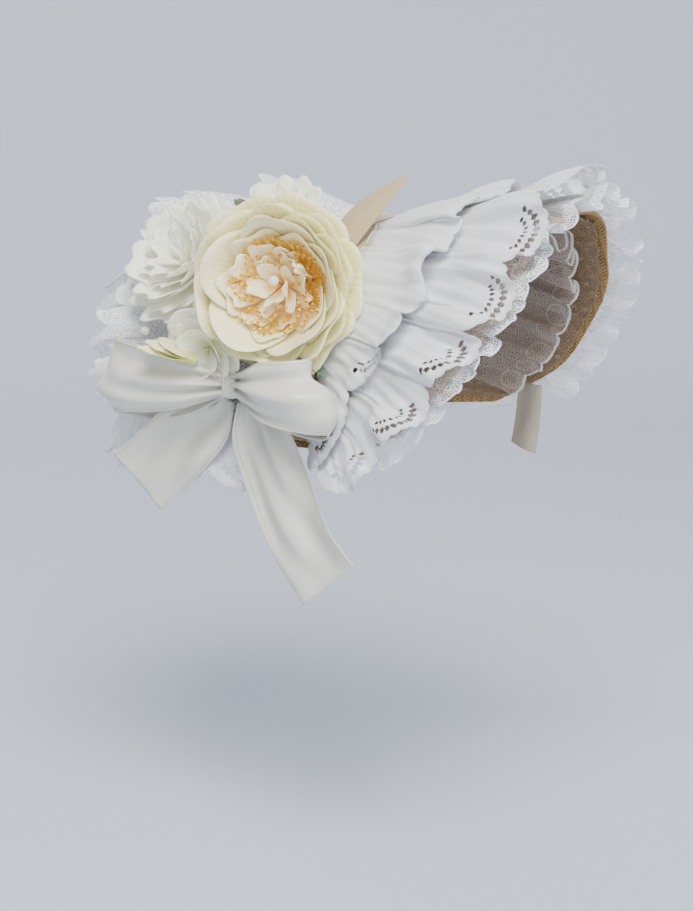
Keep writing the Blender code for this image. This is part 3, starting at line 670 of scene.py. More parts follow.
# The eyelet keeps clear of this plain frill. The lace itself is gathered more closely, below.
rim_lace = Frill(brim_surface, 0.80, 1.0, 0.0, 0.004, 15, overhang=0.023, top=1.0)
eyelet = Frill(brim_surface, 0.39, 1.0, 0.004, 0.018, 13, overhang=0.009, near=0.006,
               beneath=rim_lace, roll=0.66, droop=0.7, pleats=0.0020, seed=5.0, top=0.15,
               crumple=0.007)
upper_eyelet = Frill(brim_surface, 0.06, 0.62, 0.002, 0.019, 11, inset=BRIM_SEAM, beneath=eyelet,
                     roll=0.72, droop=0.9, pleats=0.0030, seed=8.0, shorter=0.10, heading=0.006,
                     puff=0.003, further=0.08, top=-0.55, hangs=-0.10, crumple=0.010)
for frill_name, frill, frill_ends, frill_scallops, frill_holes, frill_node, frill_under in (
        ("eyelet_cloth", eyelet, 1.04, 12, 0.0, "eyelet_frill", "straw_brim"),
        ("upper_eyelet_cloth", upper_eyelet, 1.0, 9, TUCK_TURNS[0], "upper_eyelet_frill",
         "eyelet_cloth")):
    sew(strip(frill_name, frill.at, frill.length, frill_ends, frill_scallops, SCALLOP_DEPTH, 54,
              36, holes=frill_holes, small=SMALL_SCALLOPS),
        cotton_finish, frill_node)

# Base frill: the same eyelet cotton, gathered under the crown's lower edge from ear to ear round
# the nape, so that its scallops hang below the bow.
BASE_FRILL_DROP = 0.046
BASE_FRILL_FLARE = 0.012
BASE_FRILL_SWING = 0.005
BASE_FRILL_GATHERS = 0.0008
BASE_FRILL_FOLDS = 11
BASE_FRILL_STRAY = 0.012
BASE_FRILL_OVERLAP = 0.015
BASE_FRILL_START = 0.01


def base_frill_at(turn, way):
    """Points straight down from the crown's edge, out by flare way + swing way (1 + sin)/2."""
    side = np.where(turn < 0.0, -1.0, 1.0)
    quarter = BASE_FRILL_START + (1.0 - BASE_FRILL_START) * (1.0 - np.abs(turn))
    inside = np.minimum(quarter, 0.998)
    edge = crown_surface(side, nape_share(quarter))
    ahead = crown_surface(side, nape_share(inside + 1e-3)) - crown_surface(
        side, nape_share(inside - 1e-3))
    out = unit(np.cross(ahead, UP)) * side[..., None]
    phase = np.pi * BASE_FRILL_FOLDS * (turn + BASE_FRILL_STRAY * wander(turn * 2.0, 4.0))
    swing = BASE_FRILL_SWING * way * (0.5 + 0.5 * np.sin(phase))
    swing = swing + BASE_FRILL_GATHERS * np.sin(4 * phase)
    stand = STRAW_WALL + LAYER_STEP * 1.3 + BASE_FRILL_FLARE * way + swing
    drop = BASE_FRILL_DROP * way - BASE_FRILL_OVERLAP
    return edge + out * stand[..., None] - drop[..., None] * UP


sew(strip("base_cloth", base_frill_at, lambda turn: BASE_FRILL_DROP + 0.0 * turn, 0.995, 9,
          SCALLOP_DEPTH * 0.8, 40, 32, holes=0.0, small=SMALL_SCALLOPS),
    cotton_finish, "base_frill")

# Rim lace: a sheer white net frill under the eyelet, gathered on the straw just inside the rim.
# Fans are worked along its scalloped edge, which is bound with a thicker thread.
NET_CELL = 0.0021
LINING_CELL = 0.0019
NET_EDGE_BAND = 0.0016
SHEER_FROM = (0.007, 0.012)
LACE_WALL = 0.0


def net_lace(name, thread, ground, haze, edge_band=NET_EDGE_BAND, fan_pitch=0.0, dots=0.0,
             cell=NET_CELL, edging=None, sheer=0.0):
    """Net of threads along the borders of Voronoi cells, over a haze for the threads too fine to
    see, with a dense band at the edge, fans of radial bars and rows of dots worked on it. sheer
    is how much of its cover it loses away from the edge."""
    lace = Finish(name, Roughness=0.8, Specular_IOR_Level=0.2)
    along, across, place = lace.flat()
    border = lace.node("ShaderNodeTexVoronoi",
                       {"feature": "DISTANCE_TO_EDGE", "voronoi_dimensions": "2D"},
                       {"Vector": place, "Scale": 1.0 / cell, "Randomness": 0.75})
    worked = across.step(edge_band + 0.0004, edge_band - 0.0002)
    if fan_pitch:
        x = (along / fan_pitch) % 1.0 * fan_pitch - fan_pitch / 2
        y = fan_pitch * 0.46 - across
        angle = lace.node("ShaderNodeMath", {"operation": "ARCTAN2"}, {0: x, 1: y})
        reach = (x * x + y * y) ** 0.5
        bars = ((angle * 17.0).sine()).step(-0.2, 0.4)
        ring = reach.step(fan_pitch * 0.14, fan_pitch * 0.17) * reach.step(
            fan_pitch * 0.40, fan_pitch * 0.37)
        rims = (abs(reach - fan_pitch * 0.41)).step(0.0009, 0.0004)
        worked = worked.larger(bars * ring * y.step(-0.002, 0.0005)).larger(rims * 0.9)
    if dots:
        x = (along / dots) % 1.0 - 0.5
        y = (across / dots + ((along / dots) - (along / dots) % 1.0) * 0.5) % 1.0 - 0.5
        worked = worked.larger((x * x + y * y).step(0.045, 0.025))
    threads = border.step(ground + 0.07, ground)
    cover = (threads * (1.0 - haze) + haze).larger(worked)
    if sheer:
        cover = cover * (1.0 - across.step(*SHEER_FROM) * sheer)
    shade = lace.noise(place, 60.0) * 0.35 + worked * 0.3
    body = lace.blend(shade, thread, tuple(min(part * 1.12, 0.95) for part in thread))
    lace.wear(Alpha=cover, Base_Color=lace.blend(across.step(edge_band * 1.6, edge_band), body,
                                                 edging or thread))
    lace.bump(worked + threads * 0.5, 0.5, 0.0006)
    return lace.material


LACE_WHITE = (0.86, 0.87, 0.91, 1.0)
rim_lace_sewn = Frill(brim_surface, 0.80, 1.0, 0.0, 0.0085, 19, overhang=0.023, near=-0.005,
                      roll=0.60, droop=0.4, pleats=0.0014, seed=3.0, top=1.0)
sew(strip("rim_net", rim_lace_sewn.at, rim_lace_sewn.length, 0.84, 28, 0.0055, 22, 18),
    net_lace("white_net", LACE_WHITE, 0.08, 0.24, fan_pitch=0.027, sheer=0.55), "rim_lace",
    wall=LACE_WALL)

# Brim lining: grey-mauve net lace laid in fine radiating pleats over the straw inside the brim,
# and a second frill of it folded to and fro so that it stands up inside.
LINING_MAUVE = (0.25, 0.17, 0.11, 1.0)
lining_sewn = Frill(brim_surface, 0.08, 0.965, 0.0, 0.0030, 37, inner=True, roll=0.35,
                    pleats=0.0008, seed=2.0)
lining_flat = Frill(brim_surface, 0.08, 0.94, 0.0, 0.0025, 16, inner=True)
lining_frill_sewn = Frill(brim_surface, 0.40, 0.87, 0.004, 0.019, 15, beneath=lining_flat,
                          inner=True, roll=0.85, droop=1.4, pleats=0.0010, seed=6.0)
sew(strip("lining_net", lining_sewn.at, lining_sewn.length, 0.96, 30, 0.002, 20, 16, turned=True),
    net_lace("mauve_net", LINING_MAUVE, 0.12, 0.22, dots=0.0095, cell=LINING_CELL), "brim_lining",
    wall=LACE_WALL)
sew(strip("lining_frill_net", lining_frill_sewn.at, lining_frill_sewn.length, 0.86, 26, 0.004, 24,
          16, turned=True),
    net_lace("mauve_net_edge", (0.36, 0.30, 0.26, 1.0), 0.10, 0.20, fan_pitch=0.021,
             cell=LINING_CELL, edging=(0.70, 0.68, 0.66, 1.0)),
    "lining_frill", wall=LACE_WALL)

# Crown frills: three tiers of white lace and tulle, gathered over the crown so that each falls
# over the next, the lowest at the back of the head. What lies over a tier keeps clear of its
# plain frill, and the lace itself is gathered more closely.
CROWN_FRILL_ENDS = 0.91
back_frill = Frill(crown_surface, 0.66, 0.93, 0.022, 0.007, 11)
middle_frill = Frill(crown_surface, 0.38, 0.78, 0.024, 0.007, 11, beneath=back_frill)
top_frill = Frill(crown_surface, 0.12, 0.52, 0.016, 0.007, 11, beneath=middle_frill)
crown_net = net_lace("dotted_net", (0.87, 0.88, 0.91, 1.0), 0.12, 0.42, edge_band=0.0022,
                     dots=0.0062)
for tier_name, tier, tier_node, tier_under, tier_seed in (
        ("back_net", back_frill, "crown_frill_back", "straw_crown", 2.5),
        ("middle_net", middle_frill, "crown_frill_middle", "back_net", 4.5),
        ("top_net", top_frill, "crown_frill_top", "middle_net", 7.5)):
    tier_sewn = Frill(crown_surface, tier.start, tier.end, tier.rise, 0.0125, 13,
                      beneath=tier.beneath, roll=0.62, droop=0.5, pleats=0.0018, seed=tier_seed)
    sew(strip(tier_name, tier_sewn.at, tier_sewn.length, CROWN_FRILL_ENDS, 24, 0.006, 24, 20,
              turned=True), crown_net, tier_node, wall=LACE_WALL)

# Tan band: a strip of tan cotton sateen laid over the seam of crown and brim, its back half piped
# in cream, with a pointed end folded in two that stands up over the frills. The same cream cord
# binds the upper eyelet's heading.
BAND_SHARE = 0.095
BAND_FRONT_SHARE = 0.13
BAND_END = 0.97
BAND_GAP = 0.0012
BAND_CREASE = 0.0005
BAND_FRONT_GAP = 0.0007
BAND_FRONT_SWELL = 0.0006
BAND_POINT_LENGTH = 0.064
BAND_POINT_WIDTH = 0.025
BAND_POINT_TAPER = 0.95
BAND_POINT_FOLD = 0.0030
BAND_POINT_BEND = 0.004
BAND_POINT_WALL = 0.0012
BAND_POINT_TURN = -0.25
BAND_POINT_LIFT = 0.003
BAND_POINT_LEAN = (0.62, -0.42, 0.62)
PIPING_RADIUS = 0.0009
PIPING_STAND = 0.0006
HEADING_RADIUS = 0.0007
HEADING_END = 0.94
CORD_SIDE = (0.30, 0.90, 0.31)


def sateen(name, light, dark):
    """Tan sateen: fine floats along the cloth, soft blotches and a slight sheen."""
    cloth = Finish(name, Roughness=0.6, Sheen_Weight=0.2, Specular_IOR_Level=0.3)
    along, across, place = cloth.flat()
    floats = cloth.noise(cloth.stretched(along * 400.0, across * 2600.0), 1.0)
    cloth.wear(Base_Color=cloth.blend(cloth.noise(place, 55.0) * 0.6 + floats * 0.4, dark, light))
    cloth.bump(floats + cloth.noise(place, 90.0), 0.35, 0.0007)
    return cloth.material


def tube(name, path, radius):
    """A round cord: a circle of points carried along a path, square to its direction."""
    ahead = unit(np.gradient(path, axis=0))
    side = unit(np.cross(ahead, CORD_SIDE))
    over = np.cross(ahead, side)
    angle = np.linspace(0.0, 2 * np.pi, 9)[None, :, None]
    ring = np.cos(angle) * side[:, None] + np.sin(angle) * over[:, None]
    return mesh_of(name, path[:, None] + radius * ring,
                   stacked(run(path, 0)[:, None], radius * angle[..., 0]))


def on_band(turn, way):
    """Over the crown's first share, with low creases across the cloth."""
    crease = BAND_CREASE * wander(turn * 9.0 + way, 3.0) * np.sin(np.pi * way)
    return lifted(crown_surface, turn, way * BAND_SHARE, STRAW_WALL + BAND_GAP + crease)


def on_band_front(turn, way):
    """Over the brim's first share, with a low swell over the middle of the cloth."""
    swell = BAND_FRONT_SWELL * np.sin(np.pi * way)
    return lifted(brim_surface, turn, way * BAND_FRONT_SHARE, STRAW_WALL + BAND_FRONT_GAP + swell)


tan_sateen = sateen("tan_sateen", (0.54, 0.41, 0.245, 1.0), (0.41, 0.30, 0.165, 1.0))
cream_cord = sateen("cream_cord", (0.80, 0.75, 0.64, 1.0), (0.66, 0.60, 0.48, 1.0))
for band_name, band_at, band_rows, band_turned, band_node, band_under in (
        ("band_cloth", on_band, 9, True, "tan_band", "straw_crown"),
        ("band_front_cloth", on_band_front, 7, False, None, "straw_brim")):
    band_points = band_at(*grid(-BAND_END, BAND_END, 241, band_rows))
    band_along, band_across = run(band_points, 0), run(band_points, 1)
    band = mesh_of(band_name, band_points, stacked(band_along, band_across), turned=band_turned)
    band["strip_length"] = float(band_along[-1].mean())
    band["strip_width"] = float(band_across[:, -1].mean())
    sew(band, tan_sateen, band_node)
heading_turn = np.linspace(-HEADING_END, HEADING_END, 601)
dress(tube("heading_binding", upper_eyelet.at(heading_turn, 0.0 * heading_turn), HEADING_RADIUS),
      cream_cord)
piping_turn = np.linspace(-BAND_END, BAND_END, 241)
piping_stand = outward(crown_surface, piping_turn, 0.01 + 0.0 * piping_turn) * PIPING_STAND
for piping_name, piping_way in (("front_piping", 0.04), ("back_piping", 0.96)):
    piping_path = on_band(piping_turn, piping_way + 0.0 * piping_turn) + piping_stand
    dress(tube(piping_name, piping_path, PIPING_RADIUS), cream_cord)


def over_crown(turn, share, extra):
    """A point above every frill at a place on the crown."""
    turn, share = np.array(turn, float), np.array(share, float)
    return lifted(crown_surface, turn, share, top_frill.clear(turn, share) + extra)


point_lean = unit(np.array(BAND_POINT_LEAN))
point_across = unit(np.array((0.0, 1.0, 0.0)) - point_lean * point_lean[1])
point_frame = np.stack((point_lean, point_across, np.cross(point_lean, point_across)))
point_way, point_side = grid(0.0, 1.0, 29, 15)
point_width = BAND_POINT_WIDTH * (1.0 - BAND_POINT_TAPER * point_way**2.2)
point_fold = BAND_POINT_FOLD * (1.0 - np.abs(2 * point_side - 1.0)) * (1.0 - point_way * 0.8)
point_places = stacked(BAND_POINT_LENGTH * point_way, point_width * (point_side - 0.5),
                       point_fold + BAND_POINT_BEND * np.sin(np.pi * point_way))
point_foot = over_crown(BAND_POINT_TURN, BAND_SHARE / 3, BAND_POINT_LIFT)
band_end = mesh_of("band_end_cloth", point_foot + point_places @ point_frame,
                   stacked(point_way * BAND_POINT_LENGTH, point_width * point_side))
band_end["strip_length"], band_end["strip_width"] = BAND_POINT_LENGTH, float(point_width.mean())
sew(band_end, tan_sateen, "band_point", wall=BAND_POINT_WALL)

# Peony: cupped petals of ivory silk, heat-curled and ruffled at the edge, glued in whorls round
# a heart of small peach petals and orange stamens. The petals turn yellow-green at the foot,
# partly the silk's own tint and partly painted shade deep between the petals.
# A row of a flower's table is a whorl: petals, turn, radius, foot height, tip height, cup, half
# angle of a petal and height of its ruffles.
PEONY_AT = over_crown(-0.445, 0.13, 0.008)
PEONY_AXIS = (-0.93, -0.23, 0.10)
PETAL_WALL = 0.0003
PETAL_GRID = (17, 13)
PETAL_FOOT = 0.0008
PETAL_TWIST = 0.0016
PEONY_WHORLS = {
    "peony_outer_silk": ("peony_outer_petals", (
        (6, 0.0, 0.0585, 0.000, 0.018, 1.6, 0.76, 0.0034),
        (5, 0.5, 0.0545, 0.002, 0.027, 2.2, 0.86, 0.0030))),
    "peony_middle_silk": ("peony_middle_petals", (
        (6, 0.2, 0.0510, 0.004, 0.034, 2.8, 0.76, 0.0028),
        (5, 0.7, 0.0475, 0.005, 0.038, 3.0, 0.88, 0.0026))),
    "peony_inner_silk": ("peony_inner_petals", (
        (5, 0.1, 0.0435, 0.007, 0.041, 3.2, 0.80, 0.0016),
        (5, 0.6, 0.0385, 0.008, 0.041, 3.4, 0.76, 0.0015))),
}
HEART_WHORLS = (
    (6, 0.1, 0.0300, 0.008, 0.016, 1.0, 0.70, 0.0006),
    (8, 0.3, 0.0420, 0.009, 0.037, 1.9, 0.30, 0.0016),
    (8, 0.8, 0.0350, 0.010, 0.041, 1.5, 0.34, 0.0016),
    (6, 0.4, 0.0270, 0.011, 0.043, 1.2, 0.44, 0.0015),
    (5, 0.9, 0.0170, 0.012, 0.042, 1.0, 0.60, 0.0013),
)
STAMENS = 210
STAMEN_FOOT = 0.0085
STAMEN_SPREAD = 0.0165
STAMEN_SCATTER = 0.7549
STAMEN_TURN = 2.39996
STAMEN_SPLAY = 0.35
STAMEN_RADIUS = 0.0006
STAMEN_BASE = 0.008
STAMEN_HEIGHT = 0.025


def frame_on(axis):
    """Two unit vectors square to an axis, and the axis itself, as the rows of a matrix."""
    axis = unit(np.array(axis))
    side = unit(np.cross(UP, axis))
    return np.stack((side, np.cross(axis, side), axis))


def whorl(count, turned_by, radius, base, height, cup, half_angle, ruffle, seed,
          pointed=0.24, ribs=0.0, ruffles=1.6, closing=0.0, loose=0.05):
    """Petals of one whorl, as grids stacked along a first axis.

    A petal runs out as FOOT + (radius - FOOT) (s - closing s^3), so that a closing one leans in
    at its tip, and up as base + (height - base) s^cup, each petal loose by its own part. Its
    width is an angle about the flower's axis, half_angle sin^0.6, so it wraps round the ones
    inside it. Its edge is rounded by |t|^2.6 and ruffled by sines that grow as s^3.
    """
    across, way = np.meshgrid(np.linspace(-1, 1, PETAL_GRID[0]), np.linspace(0, 1, PETAL_GRID[1]),
                              indexing="ij")
    number = np.arange(count)[:, None, None]
    own = np.sin(number * 12.9 + seed * 7.3)
    other = np.sin(number * 5.7 + seed * 3.1)
    s = way * (1.0 - pointed * np.abs(across) ** 2.6
               + 0.022 * np.sin(across * 6.0 + own * 9.0) * way) * (1.0 + loose * other)
    spread = np.sin(np.pi * (0.06 + 0.50 * way)) ** 0.6
    angle = (2 * np.pi * (number + turned_by) / count + (0.10 + 1.6 * loose) * own
             + half_angle * (1.0 + 0.12 * other) * across * spread)
    wave = ruffle * way**3 * np.sin(across * np.pi * ruffles + own * 5.0 + seed)
    grooves = ribs * np.sin(across * 26.0) * np.sin(np.pi * np.clip(way, 0.05, 0.95))
    reach = (PETAL_FOOT + (radius - PETAL_FOOT) * (s - closing * (1.0 + 4.0 * loose * own) * s**3)
             - PETAL_TWIST * across * way + wave + ruffle * 0.6 * np.abs(across) ** 2 * way**2)
    rise = base + (height - base) * np.clip(s, 0.0, 1.2) ** cup * (1.0 + 2.0 * loose * own) + (
        wave * 0.8 + grooves)
    return (stacked(reach * np.cos(angle), reach * np.sin(angle), rise),
            stacked(number + 0.5 + 0.45 * across, way))


def bloom(name, whorls, at, axis, finish, node=None, **shape):
    """One piece from several whorls, stood along an axis at a point."""
    made = [whorl(*row, seed + 1.0, **shape) for seed, row in enumerate(whorls)]
    points = np.concatenate([grids for grids, _ in made]) @ frame_on(axis) + at
    dress(mesh_of(name, points, np.concatenate([flat for _, flat in made])), finish, node,
          PETAL_WALL)


def petal_silk(name, foot_tint_and_shade, tip_colour, low, high, edge_colour=None, glow=0.0):
    """Pressed silk: the foot's colour runs up the petal in streaks, with fine veins and a
    paler worn edge. The foot's colour is partly the silk's own tint and partly painted shade deep
    in the flower. glow stands for the light that comes through from behind."""
    silk = Finish(name, Roughness=0.62, Sheen_Weight=0.3, Specular_IOR_Level=0.25,
                  Emission_Strength=glow, Emission_Color=tip_colour)
    across, way, place = silk.flat()
    streak = silk.noise(silk.stretched(across * 9.0, way * 1.3), 1.0, 3.0)
    cloud = silk.noise(silk.stretched(across * 1.7, way * 1.1), 1.0)
    vein = (across * (2 * np.pi * 19.0)).sine()
    # Painted shade: the darker foot colour, partly the silk's own tint, stands for the shade deep
    # between the petals.
    body = silk.blend((way + streak * 0.34 + cloud * 0.30 - 0.32).step(low, high), foot_tint_and_shade,
                      tip_colour)
    edge = way.step(0.93, 0.995)
    silk.wear(Base_Color=silk.blend(edge * 0.6, body, edge_colour or tip_colour))
    silk.bump(vein * 0.22 + streak, 0.4, 0.0009)
    return silk.material


ivory_silk = petal_silk("ivory_silk", (0.62, 0.60, 0.13, 1.0), (0.93, 0.88, 0.47, 1.0), 0.30,
                        1.05, (0.95, 0.90, 0.62, 1.0))
inner_silk = petal_silk("inner_silk", (0.92, 0.62, 0.10, 1.0), (0.94, 0.87, 0.53, 1.0), 0.30,
                        0.85, (0.95, 0.89, 0.66, 1.0))
heart_silk = petal_silk("heart_silk", (0.98, 0.50, 0.02, 1.0), (0.98, 0.88, 0.60, 1.0), 0.20,
                        0.60, (0.98, 0.92, 0.72, 1.0), glow=0.08)
for bloom_name, (bloom_node, bloom_whorls) in PEONY_WHORLS.items():
    bloom(bloom_name, bloom_whorls, PEONY_AT, PEONY_AXIS,
          inner_silk if bloom_name == "peony_inner_silk" else ivory_silk, bloom_node,
          loose=0.06, ruffles=2.0)
bloom("peony_heart_silk", HEART_WHORLS, PEONY_AT, PEONY_AXIS, heart_silk, "peony_heart",
      pointed=0.42, ruffles=1.3, closing=0.34, loose=0.15)
stamen_number = np.arange(STAMENS)[:, None, None]
stamen_way, stamen_angle = np.meshgrid(np.linspace(0, 1, 5), np.linspace(0, 2 * np.pi, 6),
                                       indexing="ij")
stamen_foot = STAMEN_FOOT + STAMEN_SPREAD * ((stamen_number * STAMEN_SCATTER) % 1.0) ** 0.5
stamen_reach = stamen_foot * (1.0 + STAMEN_SPLAY * stamen_way)
stamen_turn = stamen_number * STAMEN_TURN
stamen_thick = STAMEN_RADIUS * (1.0 + (stamen_way > 0.7))
stamen_height = STAMEN_HEIGHT * (0.78 + 0.22 * np.sin(stamen_number * 3.0))
stamen_points = stacked(stamen_reach * np.cos(stamen_turn) + stamen_thick * np.cos(stamen_angle),
                        stamen_reach * np.sin(stamen_turn) + stamen_thick * np.sin(stamen_angle),
                        STAMEN_BASE + stamen_height * stamen_way)
dress(mesh_of("peony_stamens", stamen_points @ frame_on(PEONY_AXIS) + PEONY_AT,
              stacked(stamen_number + 0.0 * stamen_angle, stamen_way), turned=True),
      petal_silk("stamen_floss", (0.95, 0.46, 0.01, 1.0), (0.98, 0.66, 0.05, 1.0), 0.2, 0.8,
                 glow=0.12))

# Pale flowers: a loose fluffy bloom of white-green silk behind the peony, a second one that half
# shows above it, and a small one with ribbed petals just over the bow.
PALE_FLOWER_AT = over_crown(-0.40, 0.53, 0.0011)
PALE_FLOWER_AXIS = (-0.80, 0.20, 0.56)
UPPER_BLOOM_AT = over_crown(-0.20, 0.30, -0.006)
UPPER_BLOOM_AXIS = (-0.70, 0.10, 0.66)
SMALL_FLOWER_AT = over_crown(-0.645, 0.34, 0.021)
SMALL_FLOWER_AXIS = (-0.93, 0.10, -0.20)
pale_silk = petal_silk("pale_silk", (0.72, 0.75, 0.28, 1.0), (0.95, 0.95, 0.82, 1.0), 0.00, 0.70,
                       glow=0.07)
bloom("pale_outer_silk", ((7, 0.0, 0.048, 0.000, 0.012, 1.3, 0.66, 0.0030),
                          (7, 0.5, 0.043, 0.003, 0.020, 1.7, 0.62, 0.0030)),
      PALE_FLOWER_AT, PALE_FLOWER_AXIS, pale_silk, "pale_flower_outer_petals", ruffles=2.6,
      ribs=0.0004)
bloom("pale_inner_silk", ((6, 0.2, 0.036, 0.005, 0.026, 2.0, 0.70, 0.0028),
                          (6, 0.7, 0.028, 0.007, 0.029, 2.0, 0.66, 0.0026),
                          (5, 0.4, 0.019, 0.008, 0.030, 1.8, 0.74, 0.0024),
                          (3, 0.1, 0.010, 0.009, 0.029, 1.2, 0.90, 0.0018)),
      PALE_FLOWER_AT, PALE_FLOWER_AXIS, pale_silk, "pale_flower_inner_petals", ruffles=2.4,
      ribs=0.0004)
bloom("upper_bloom_silk", ((6, 0.0, 0.036, 0.000, 0.014, 1.5, 0.70, 0.0026),
                           (6, 0.5, 0.029, 0.003, 0.018, 1.7, 0.66, 0.0024),
                           (5, 0.2, 0.019, 0.004, 0.019, 1.5, 0.70, 0.0020)),
      UPPER_BLOOM_AT, UPPER_BLOOM_AXIS, pale_silk, ruffles=2.4, ribs=0.0003)
bloom("small_flower_silk", ((6, 0.0, 0.031, 0.000, 0.010, 1.4, 0.64, 0.0016),
                            (6, 0.5, 0.025, 0.002, 0.014, 1.5, 0.66, 0.0014),
                            (5, 0.2, 0.017, 0.004, 0.017, 1.6, 0.70, 0.0012)),
      SMALL_FLOWER_AT, SMALL_FLOWER_AXIS, pale_silk, "small_flower_petals", ruffles=1.2,
      ribs=0.0008)

# Leaves and bud petals: starched silk cut to a point, pressed along the middle and veined.
LEAF_SIZE = (0.030, 0.014)
BUD_SIZE = (0.040, 0.024)
BLADE_TWIST = 0.0014
BLADE_RIPPLE = 0.0006
leaf_silk = petal_silk("leaf_silk", (0.085, 0.14, 0.095, 1.0), (0.17, 0.25, 0.19, 1.0), 0.1, 0.8)
bud_silk = petal_silk("bud_silk", (0.60, 0.63, 0.20, 1.0), (0.90, 0.86, 0.56, 1.0), 0.0, 0.8)


def blades(name, size, at, axis, splay, finish, node):
    """Pointed blades from one foot: width sin(pi way), a keel |t| along the middle and a curl
    way^2 at the tip, each leaning by its own splay across the axis."""
    across, way = np.meshgrid(np.linspace(-0.5, 0.5, 13), np.linspace(0, 1, 21), indexing="ij")
    lean = np.array(splay)[:, None, None]
    spread = size[1] * (0.08 + 0.92 * np.sin(np.pi * (0.06 + 0.90 * way)))
    x = spread * across + size[0] * way * np.sin(lean)
    y = (np.abs(across) * size[1] * 0.35 - 0.10 * size[0] * way**2 - BLADE_TWIST * lean
         + BLADE_RIPPLE * np.sin(way * 17.0) * np.abs(across))
    points = stacked(x, y, size[0] * way * np.cos(lean)) @ frame_on(axis) + at
    dress(mesh_of(name, points, stacked(across + 0.0 * lean, way)), finish, node, PETAL_WALL)


for leaf_number, (leaf_place, leaf_axis) in enumerate((
        ((-0.22, 0.40, 0.006), (-0.72, -0.10, 0.56)),
        ((-0.66, 0.30, 0.006), (-0.45, 0.30, 0.62)),
        ((-0.66, 0.05, 0.008), (-0.30, -0.90, -0.34))), 1):
    blades(f"leaf_silk_{leaf_number}", LEAF_SIZE, over_crown(*leaf_place), leaf_axis, (0.0,),
           leaf_silk, f"leaf_{leaf_number}")
blades("bud_silk_petals", BUD_SIZE, over_crown(-0.70, 0.34, 0.042), (-0.10, 0.90, 0.36),
       (-0.35, 0.0, 0.38), bud_silk, "bud_petal")

# Pearls: glossy glass pearls glued on the peony and beside the pale flower.
pearl_glaze = Finish("pearl_glaze", Roughness=0.16, Coat_Weight=0.6, Specular_IOR_Level=0.6)
pearl_cloud = pearl_glaze.noise(pearl_glaze.node("ShaderNodeTexCoord", {}, {}, 3), 260.0)
pearl_glaze.wear(Base_Color=pearl_glaze.blend(pearl_cloud, (0.86, 0.82, 0.74, 1.0),
                                              (0.82, 0.86, 0.88, 1.0)))
for pearl_node in ("peony_pearl", "side_pearl"):
    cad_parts[pearl_node].data.materials.clear()
    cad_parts[pearl_node].data.materials.append(pearl_glaze.material)

# Bow: 50 mm ivory satin ribbon tied into two full loops with two tails, and a knot of the same
# ribbon drawn in pleats round the middle.
RIBBON_WIDTH = 0.050
SATIN_WALL = 0.0006
SELVEDGE = 0.0022
LOOP_FULLNESS = 0.019
LOOP_SINK = 0.009
LOOP_PLEATS = 0.0036
LOOP_CROWN = 0.0075
TAIL_PLEATS = 0.0026
TAIL_CROWN = 0.0035
RIBBON_RUMPLE = 0.0034
KNOT_WIDTH = 0.012
KNOT_HEIGHT = 0.019
KNOT_DEPTH = 0.014
KNOT_CLEARANCE = 0.0012
BOW_AT = over_crown(-0.762, 0.25, 0.023)
LOOP = {
    "way": (0.00, 0.16, 0.34, 0.50, 0.66, 0.84, 1.00),
    "reach": (0.00, 0.38, 0.80, 1.00, 0.80, 0.38, 0.00),
    "out": (0.22, 0.95, 1.00, 0.40, -0.12, -0.10, -0.05),
    "width": (0.34, 0.78, 1.00, 1.04, 1.00, 0.74, 0.34),
}
SHORT_TAIL = {
    "way": (0.00, 0.25, 0.55, 0.80, 1.00),
    "side": (0.09, 0.20, 0.38, 0.53, 0.68),
    "down": (0.00, 0.12, 0.28, 0.43, 0.56),
    "out": (-0.46, -0.46, -0.42, -0.30, -0.20),
    "width": (0.28, 0.80, 1.00, 1.00, 1.00),
    "slant": (0.00, 0.00, 0.00, 0.00, 0.12),
}
LONG_TAIL = {
    "way": (0.00, 0.18, 0.42, 0.70, 1.00),
    "side": (-0.06, -0.12, -0.21, -0.345, -0.545),
    "down": (0.00, 0.14, 0.375, 0.634, 0.868),
    "out": (-0.32, -0.32, -0.26, -0.15, 0.00),
    "width": (0.28, 0.84, 1.00, 1.04, 1.04),
    "slant": (0.00, 0.00, 0.00, 0.00, 0.00),
}


def satin(name, light, shade):
    """Woven satin: weft floats across the ribbon, soft rumples with painted shade in their colour,
    and a corded selvedge.
    """
    cloth = Finish(name, Roughness=0.34, Sheen_Weight=0.15, Specular_IOR_Level=0.5,
                   Anisotropic=0.35)
    along, across, place = cloth.flat()
    floats = cloth.noise(cloth.stretched(along * 2600.0, across * 260.0), 1.0)
    side = abs(across - RIBBON_WIDTH / 2)
    selvedge = (abs(side - (RIBBON_WIDTH / 2 - SELVEDGE))).step(0.0006, 0.0002)
    rumple = cloth.noise(place, 34.0)
    # Painted shade: the rumple noise darkens the colour towards the shade colour, in step with the
    # bump.
    cloth.wear(Base_Color=cloth.blend(rumple * 0.5 + selvedge * 0.5, light, shade),
               Roughness=floats * 0.10 + 0.28)
    cloth.bump(rumple * 3.0 + floats * 0.12 - selvedge * 0.5, 0.35, 0.0012)
    return cloth.material


ivory_satin = satin("ivory_satin", (0.73, 0.72, 0.65, 1.0), (0.48, 0.46, 0.38, 1.0))
ribbon_lay = np.linspace(-0.5, 0.5, 33)[None, :]


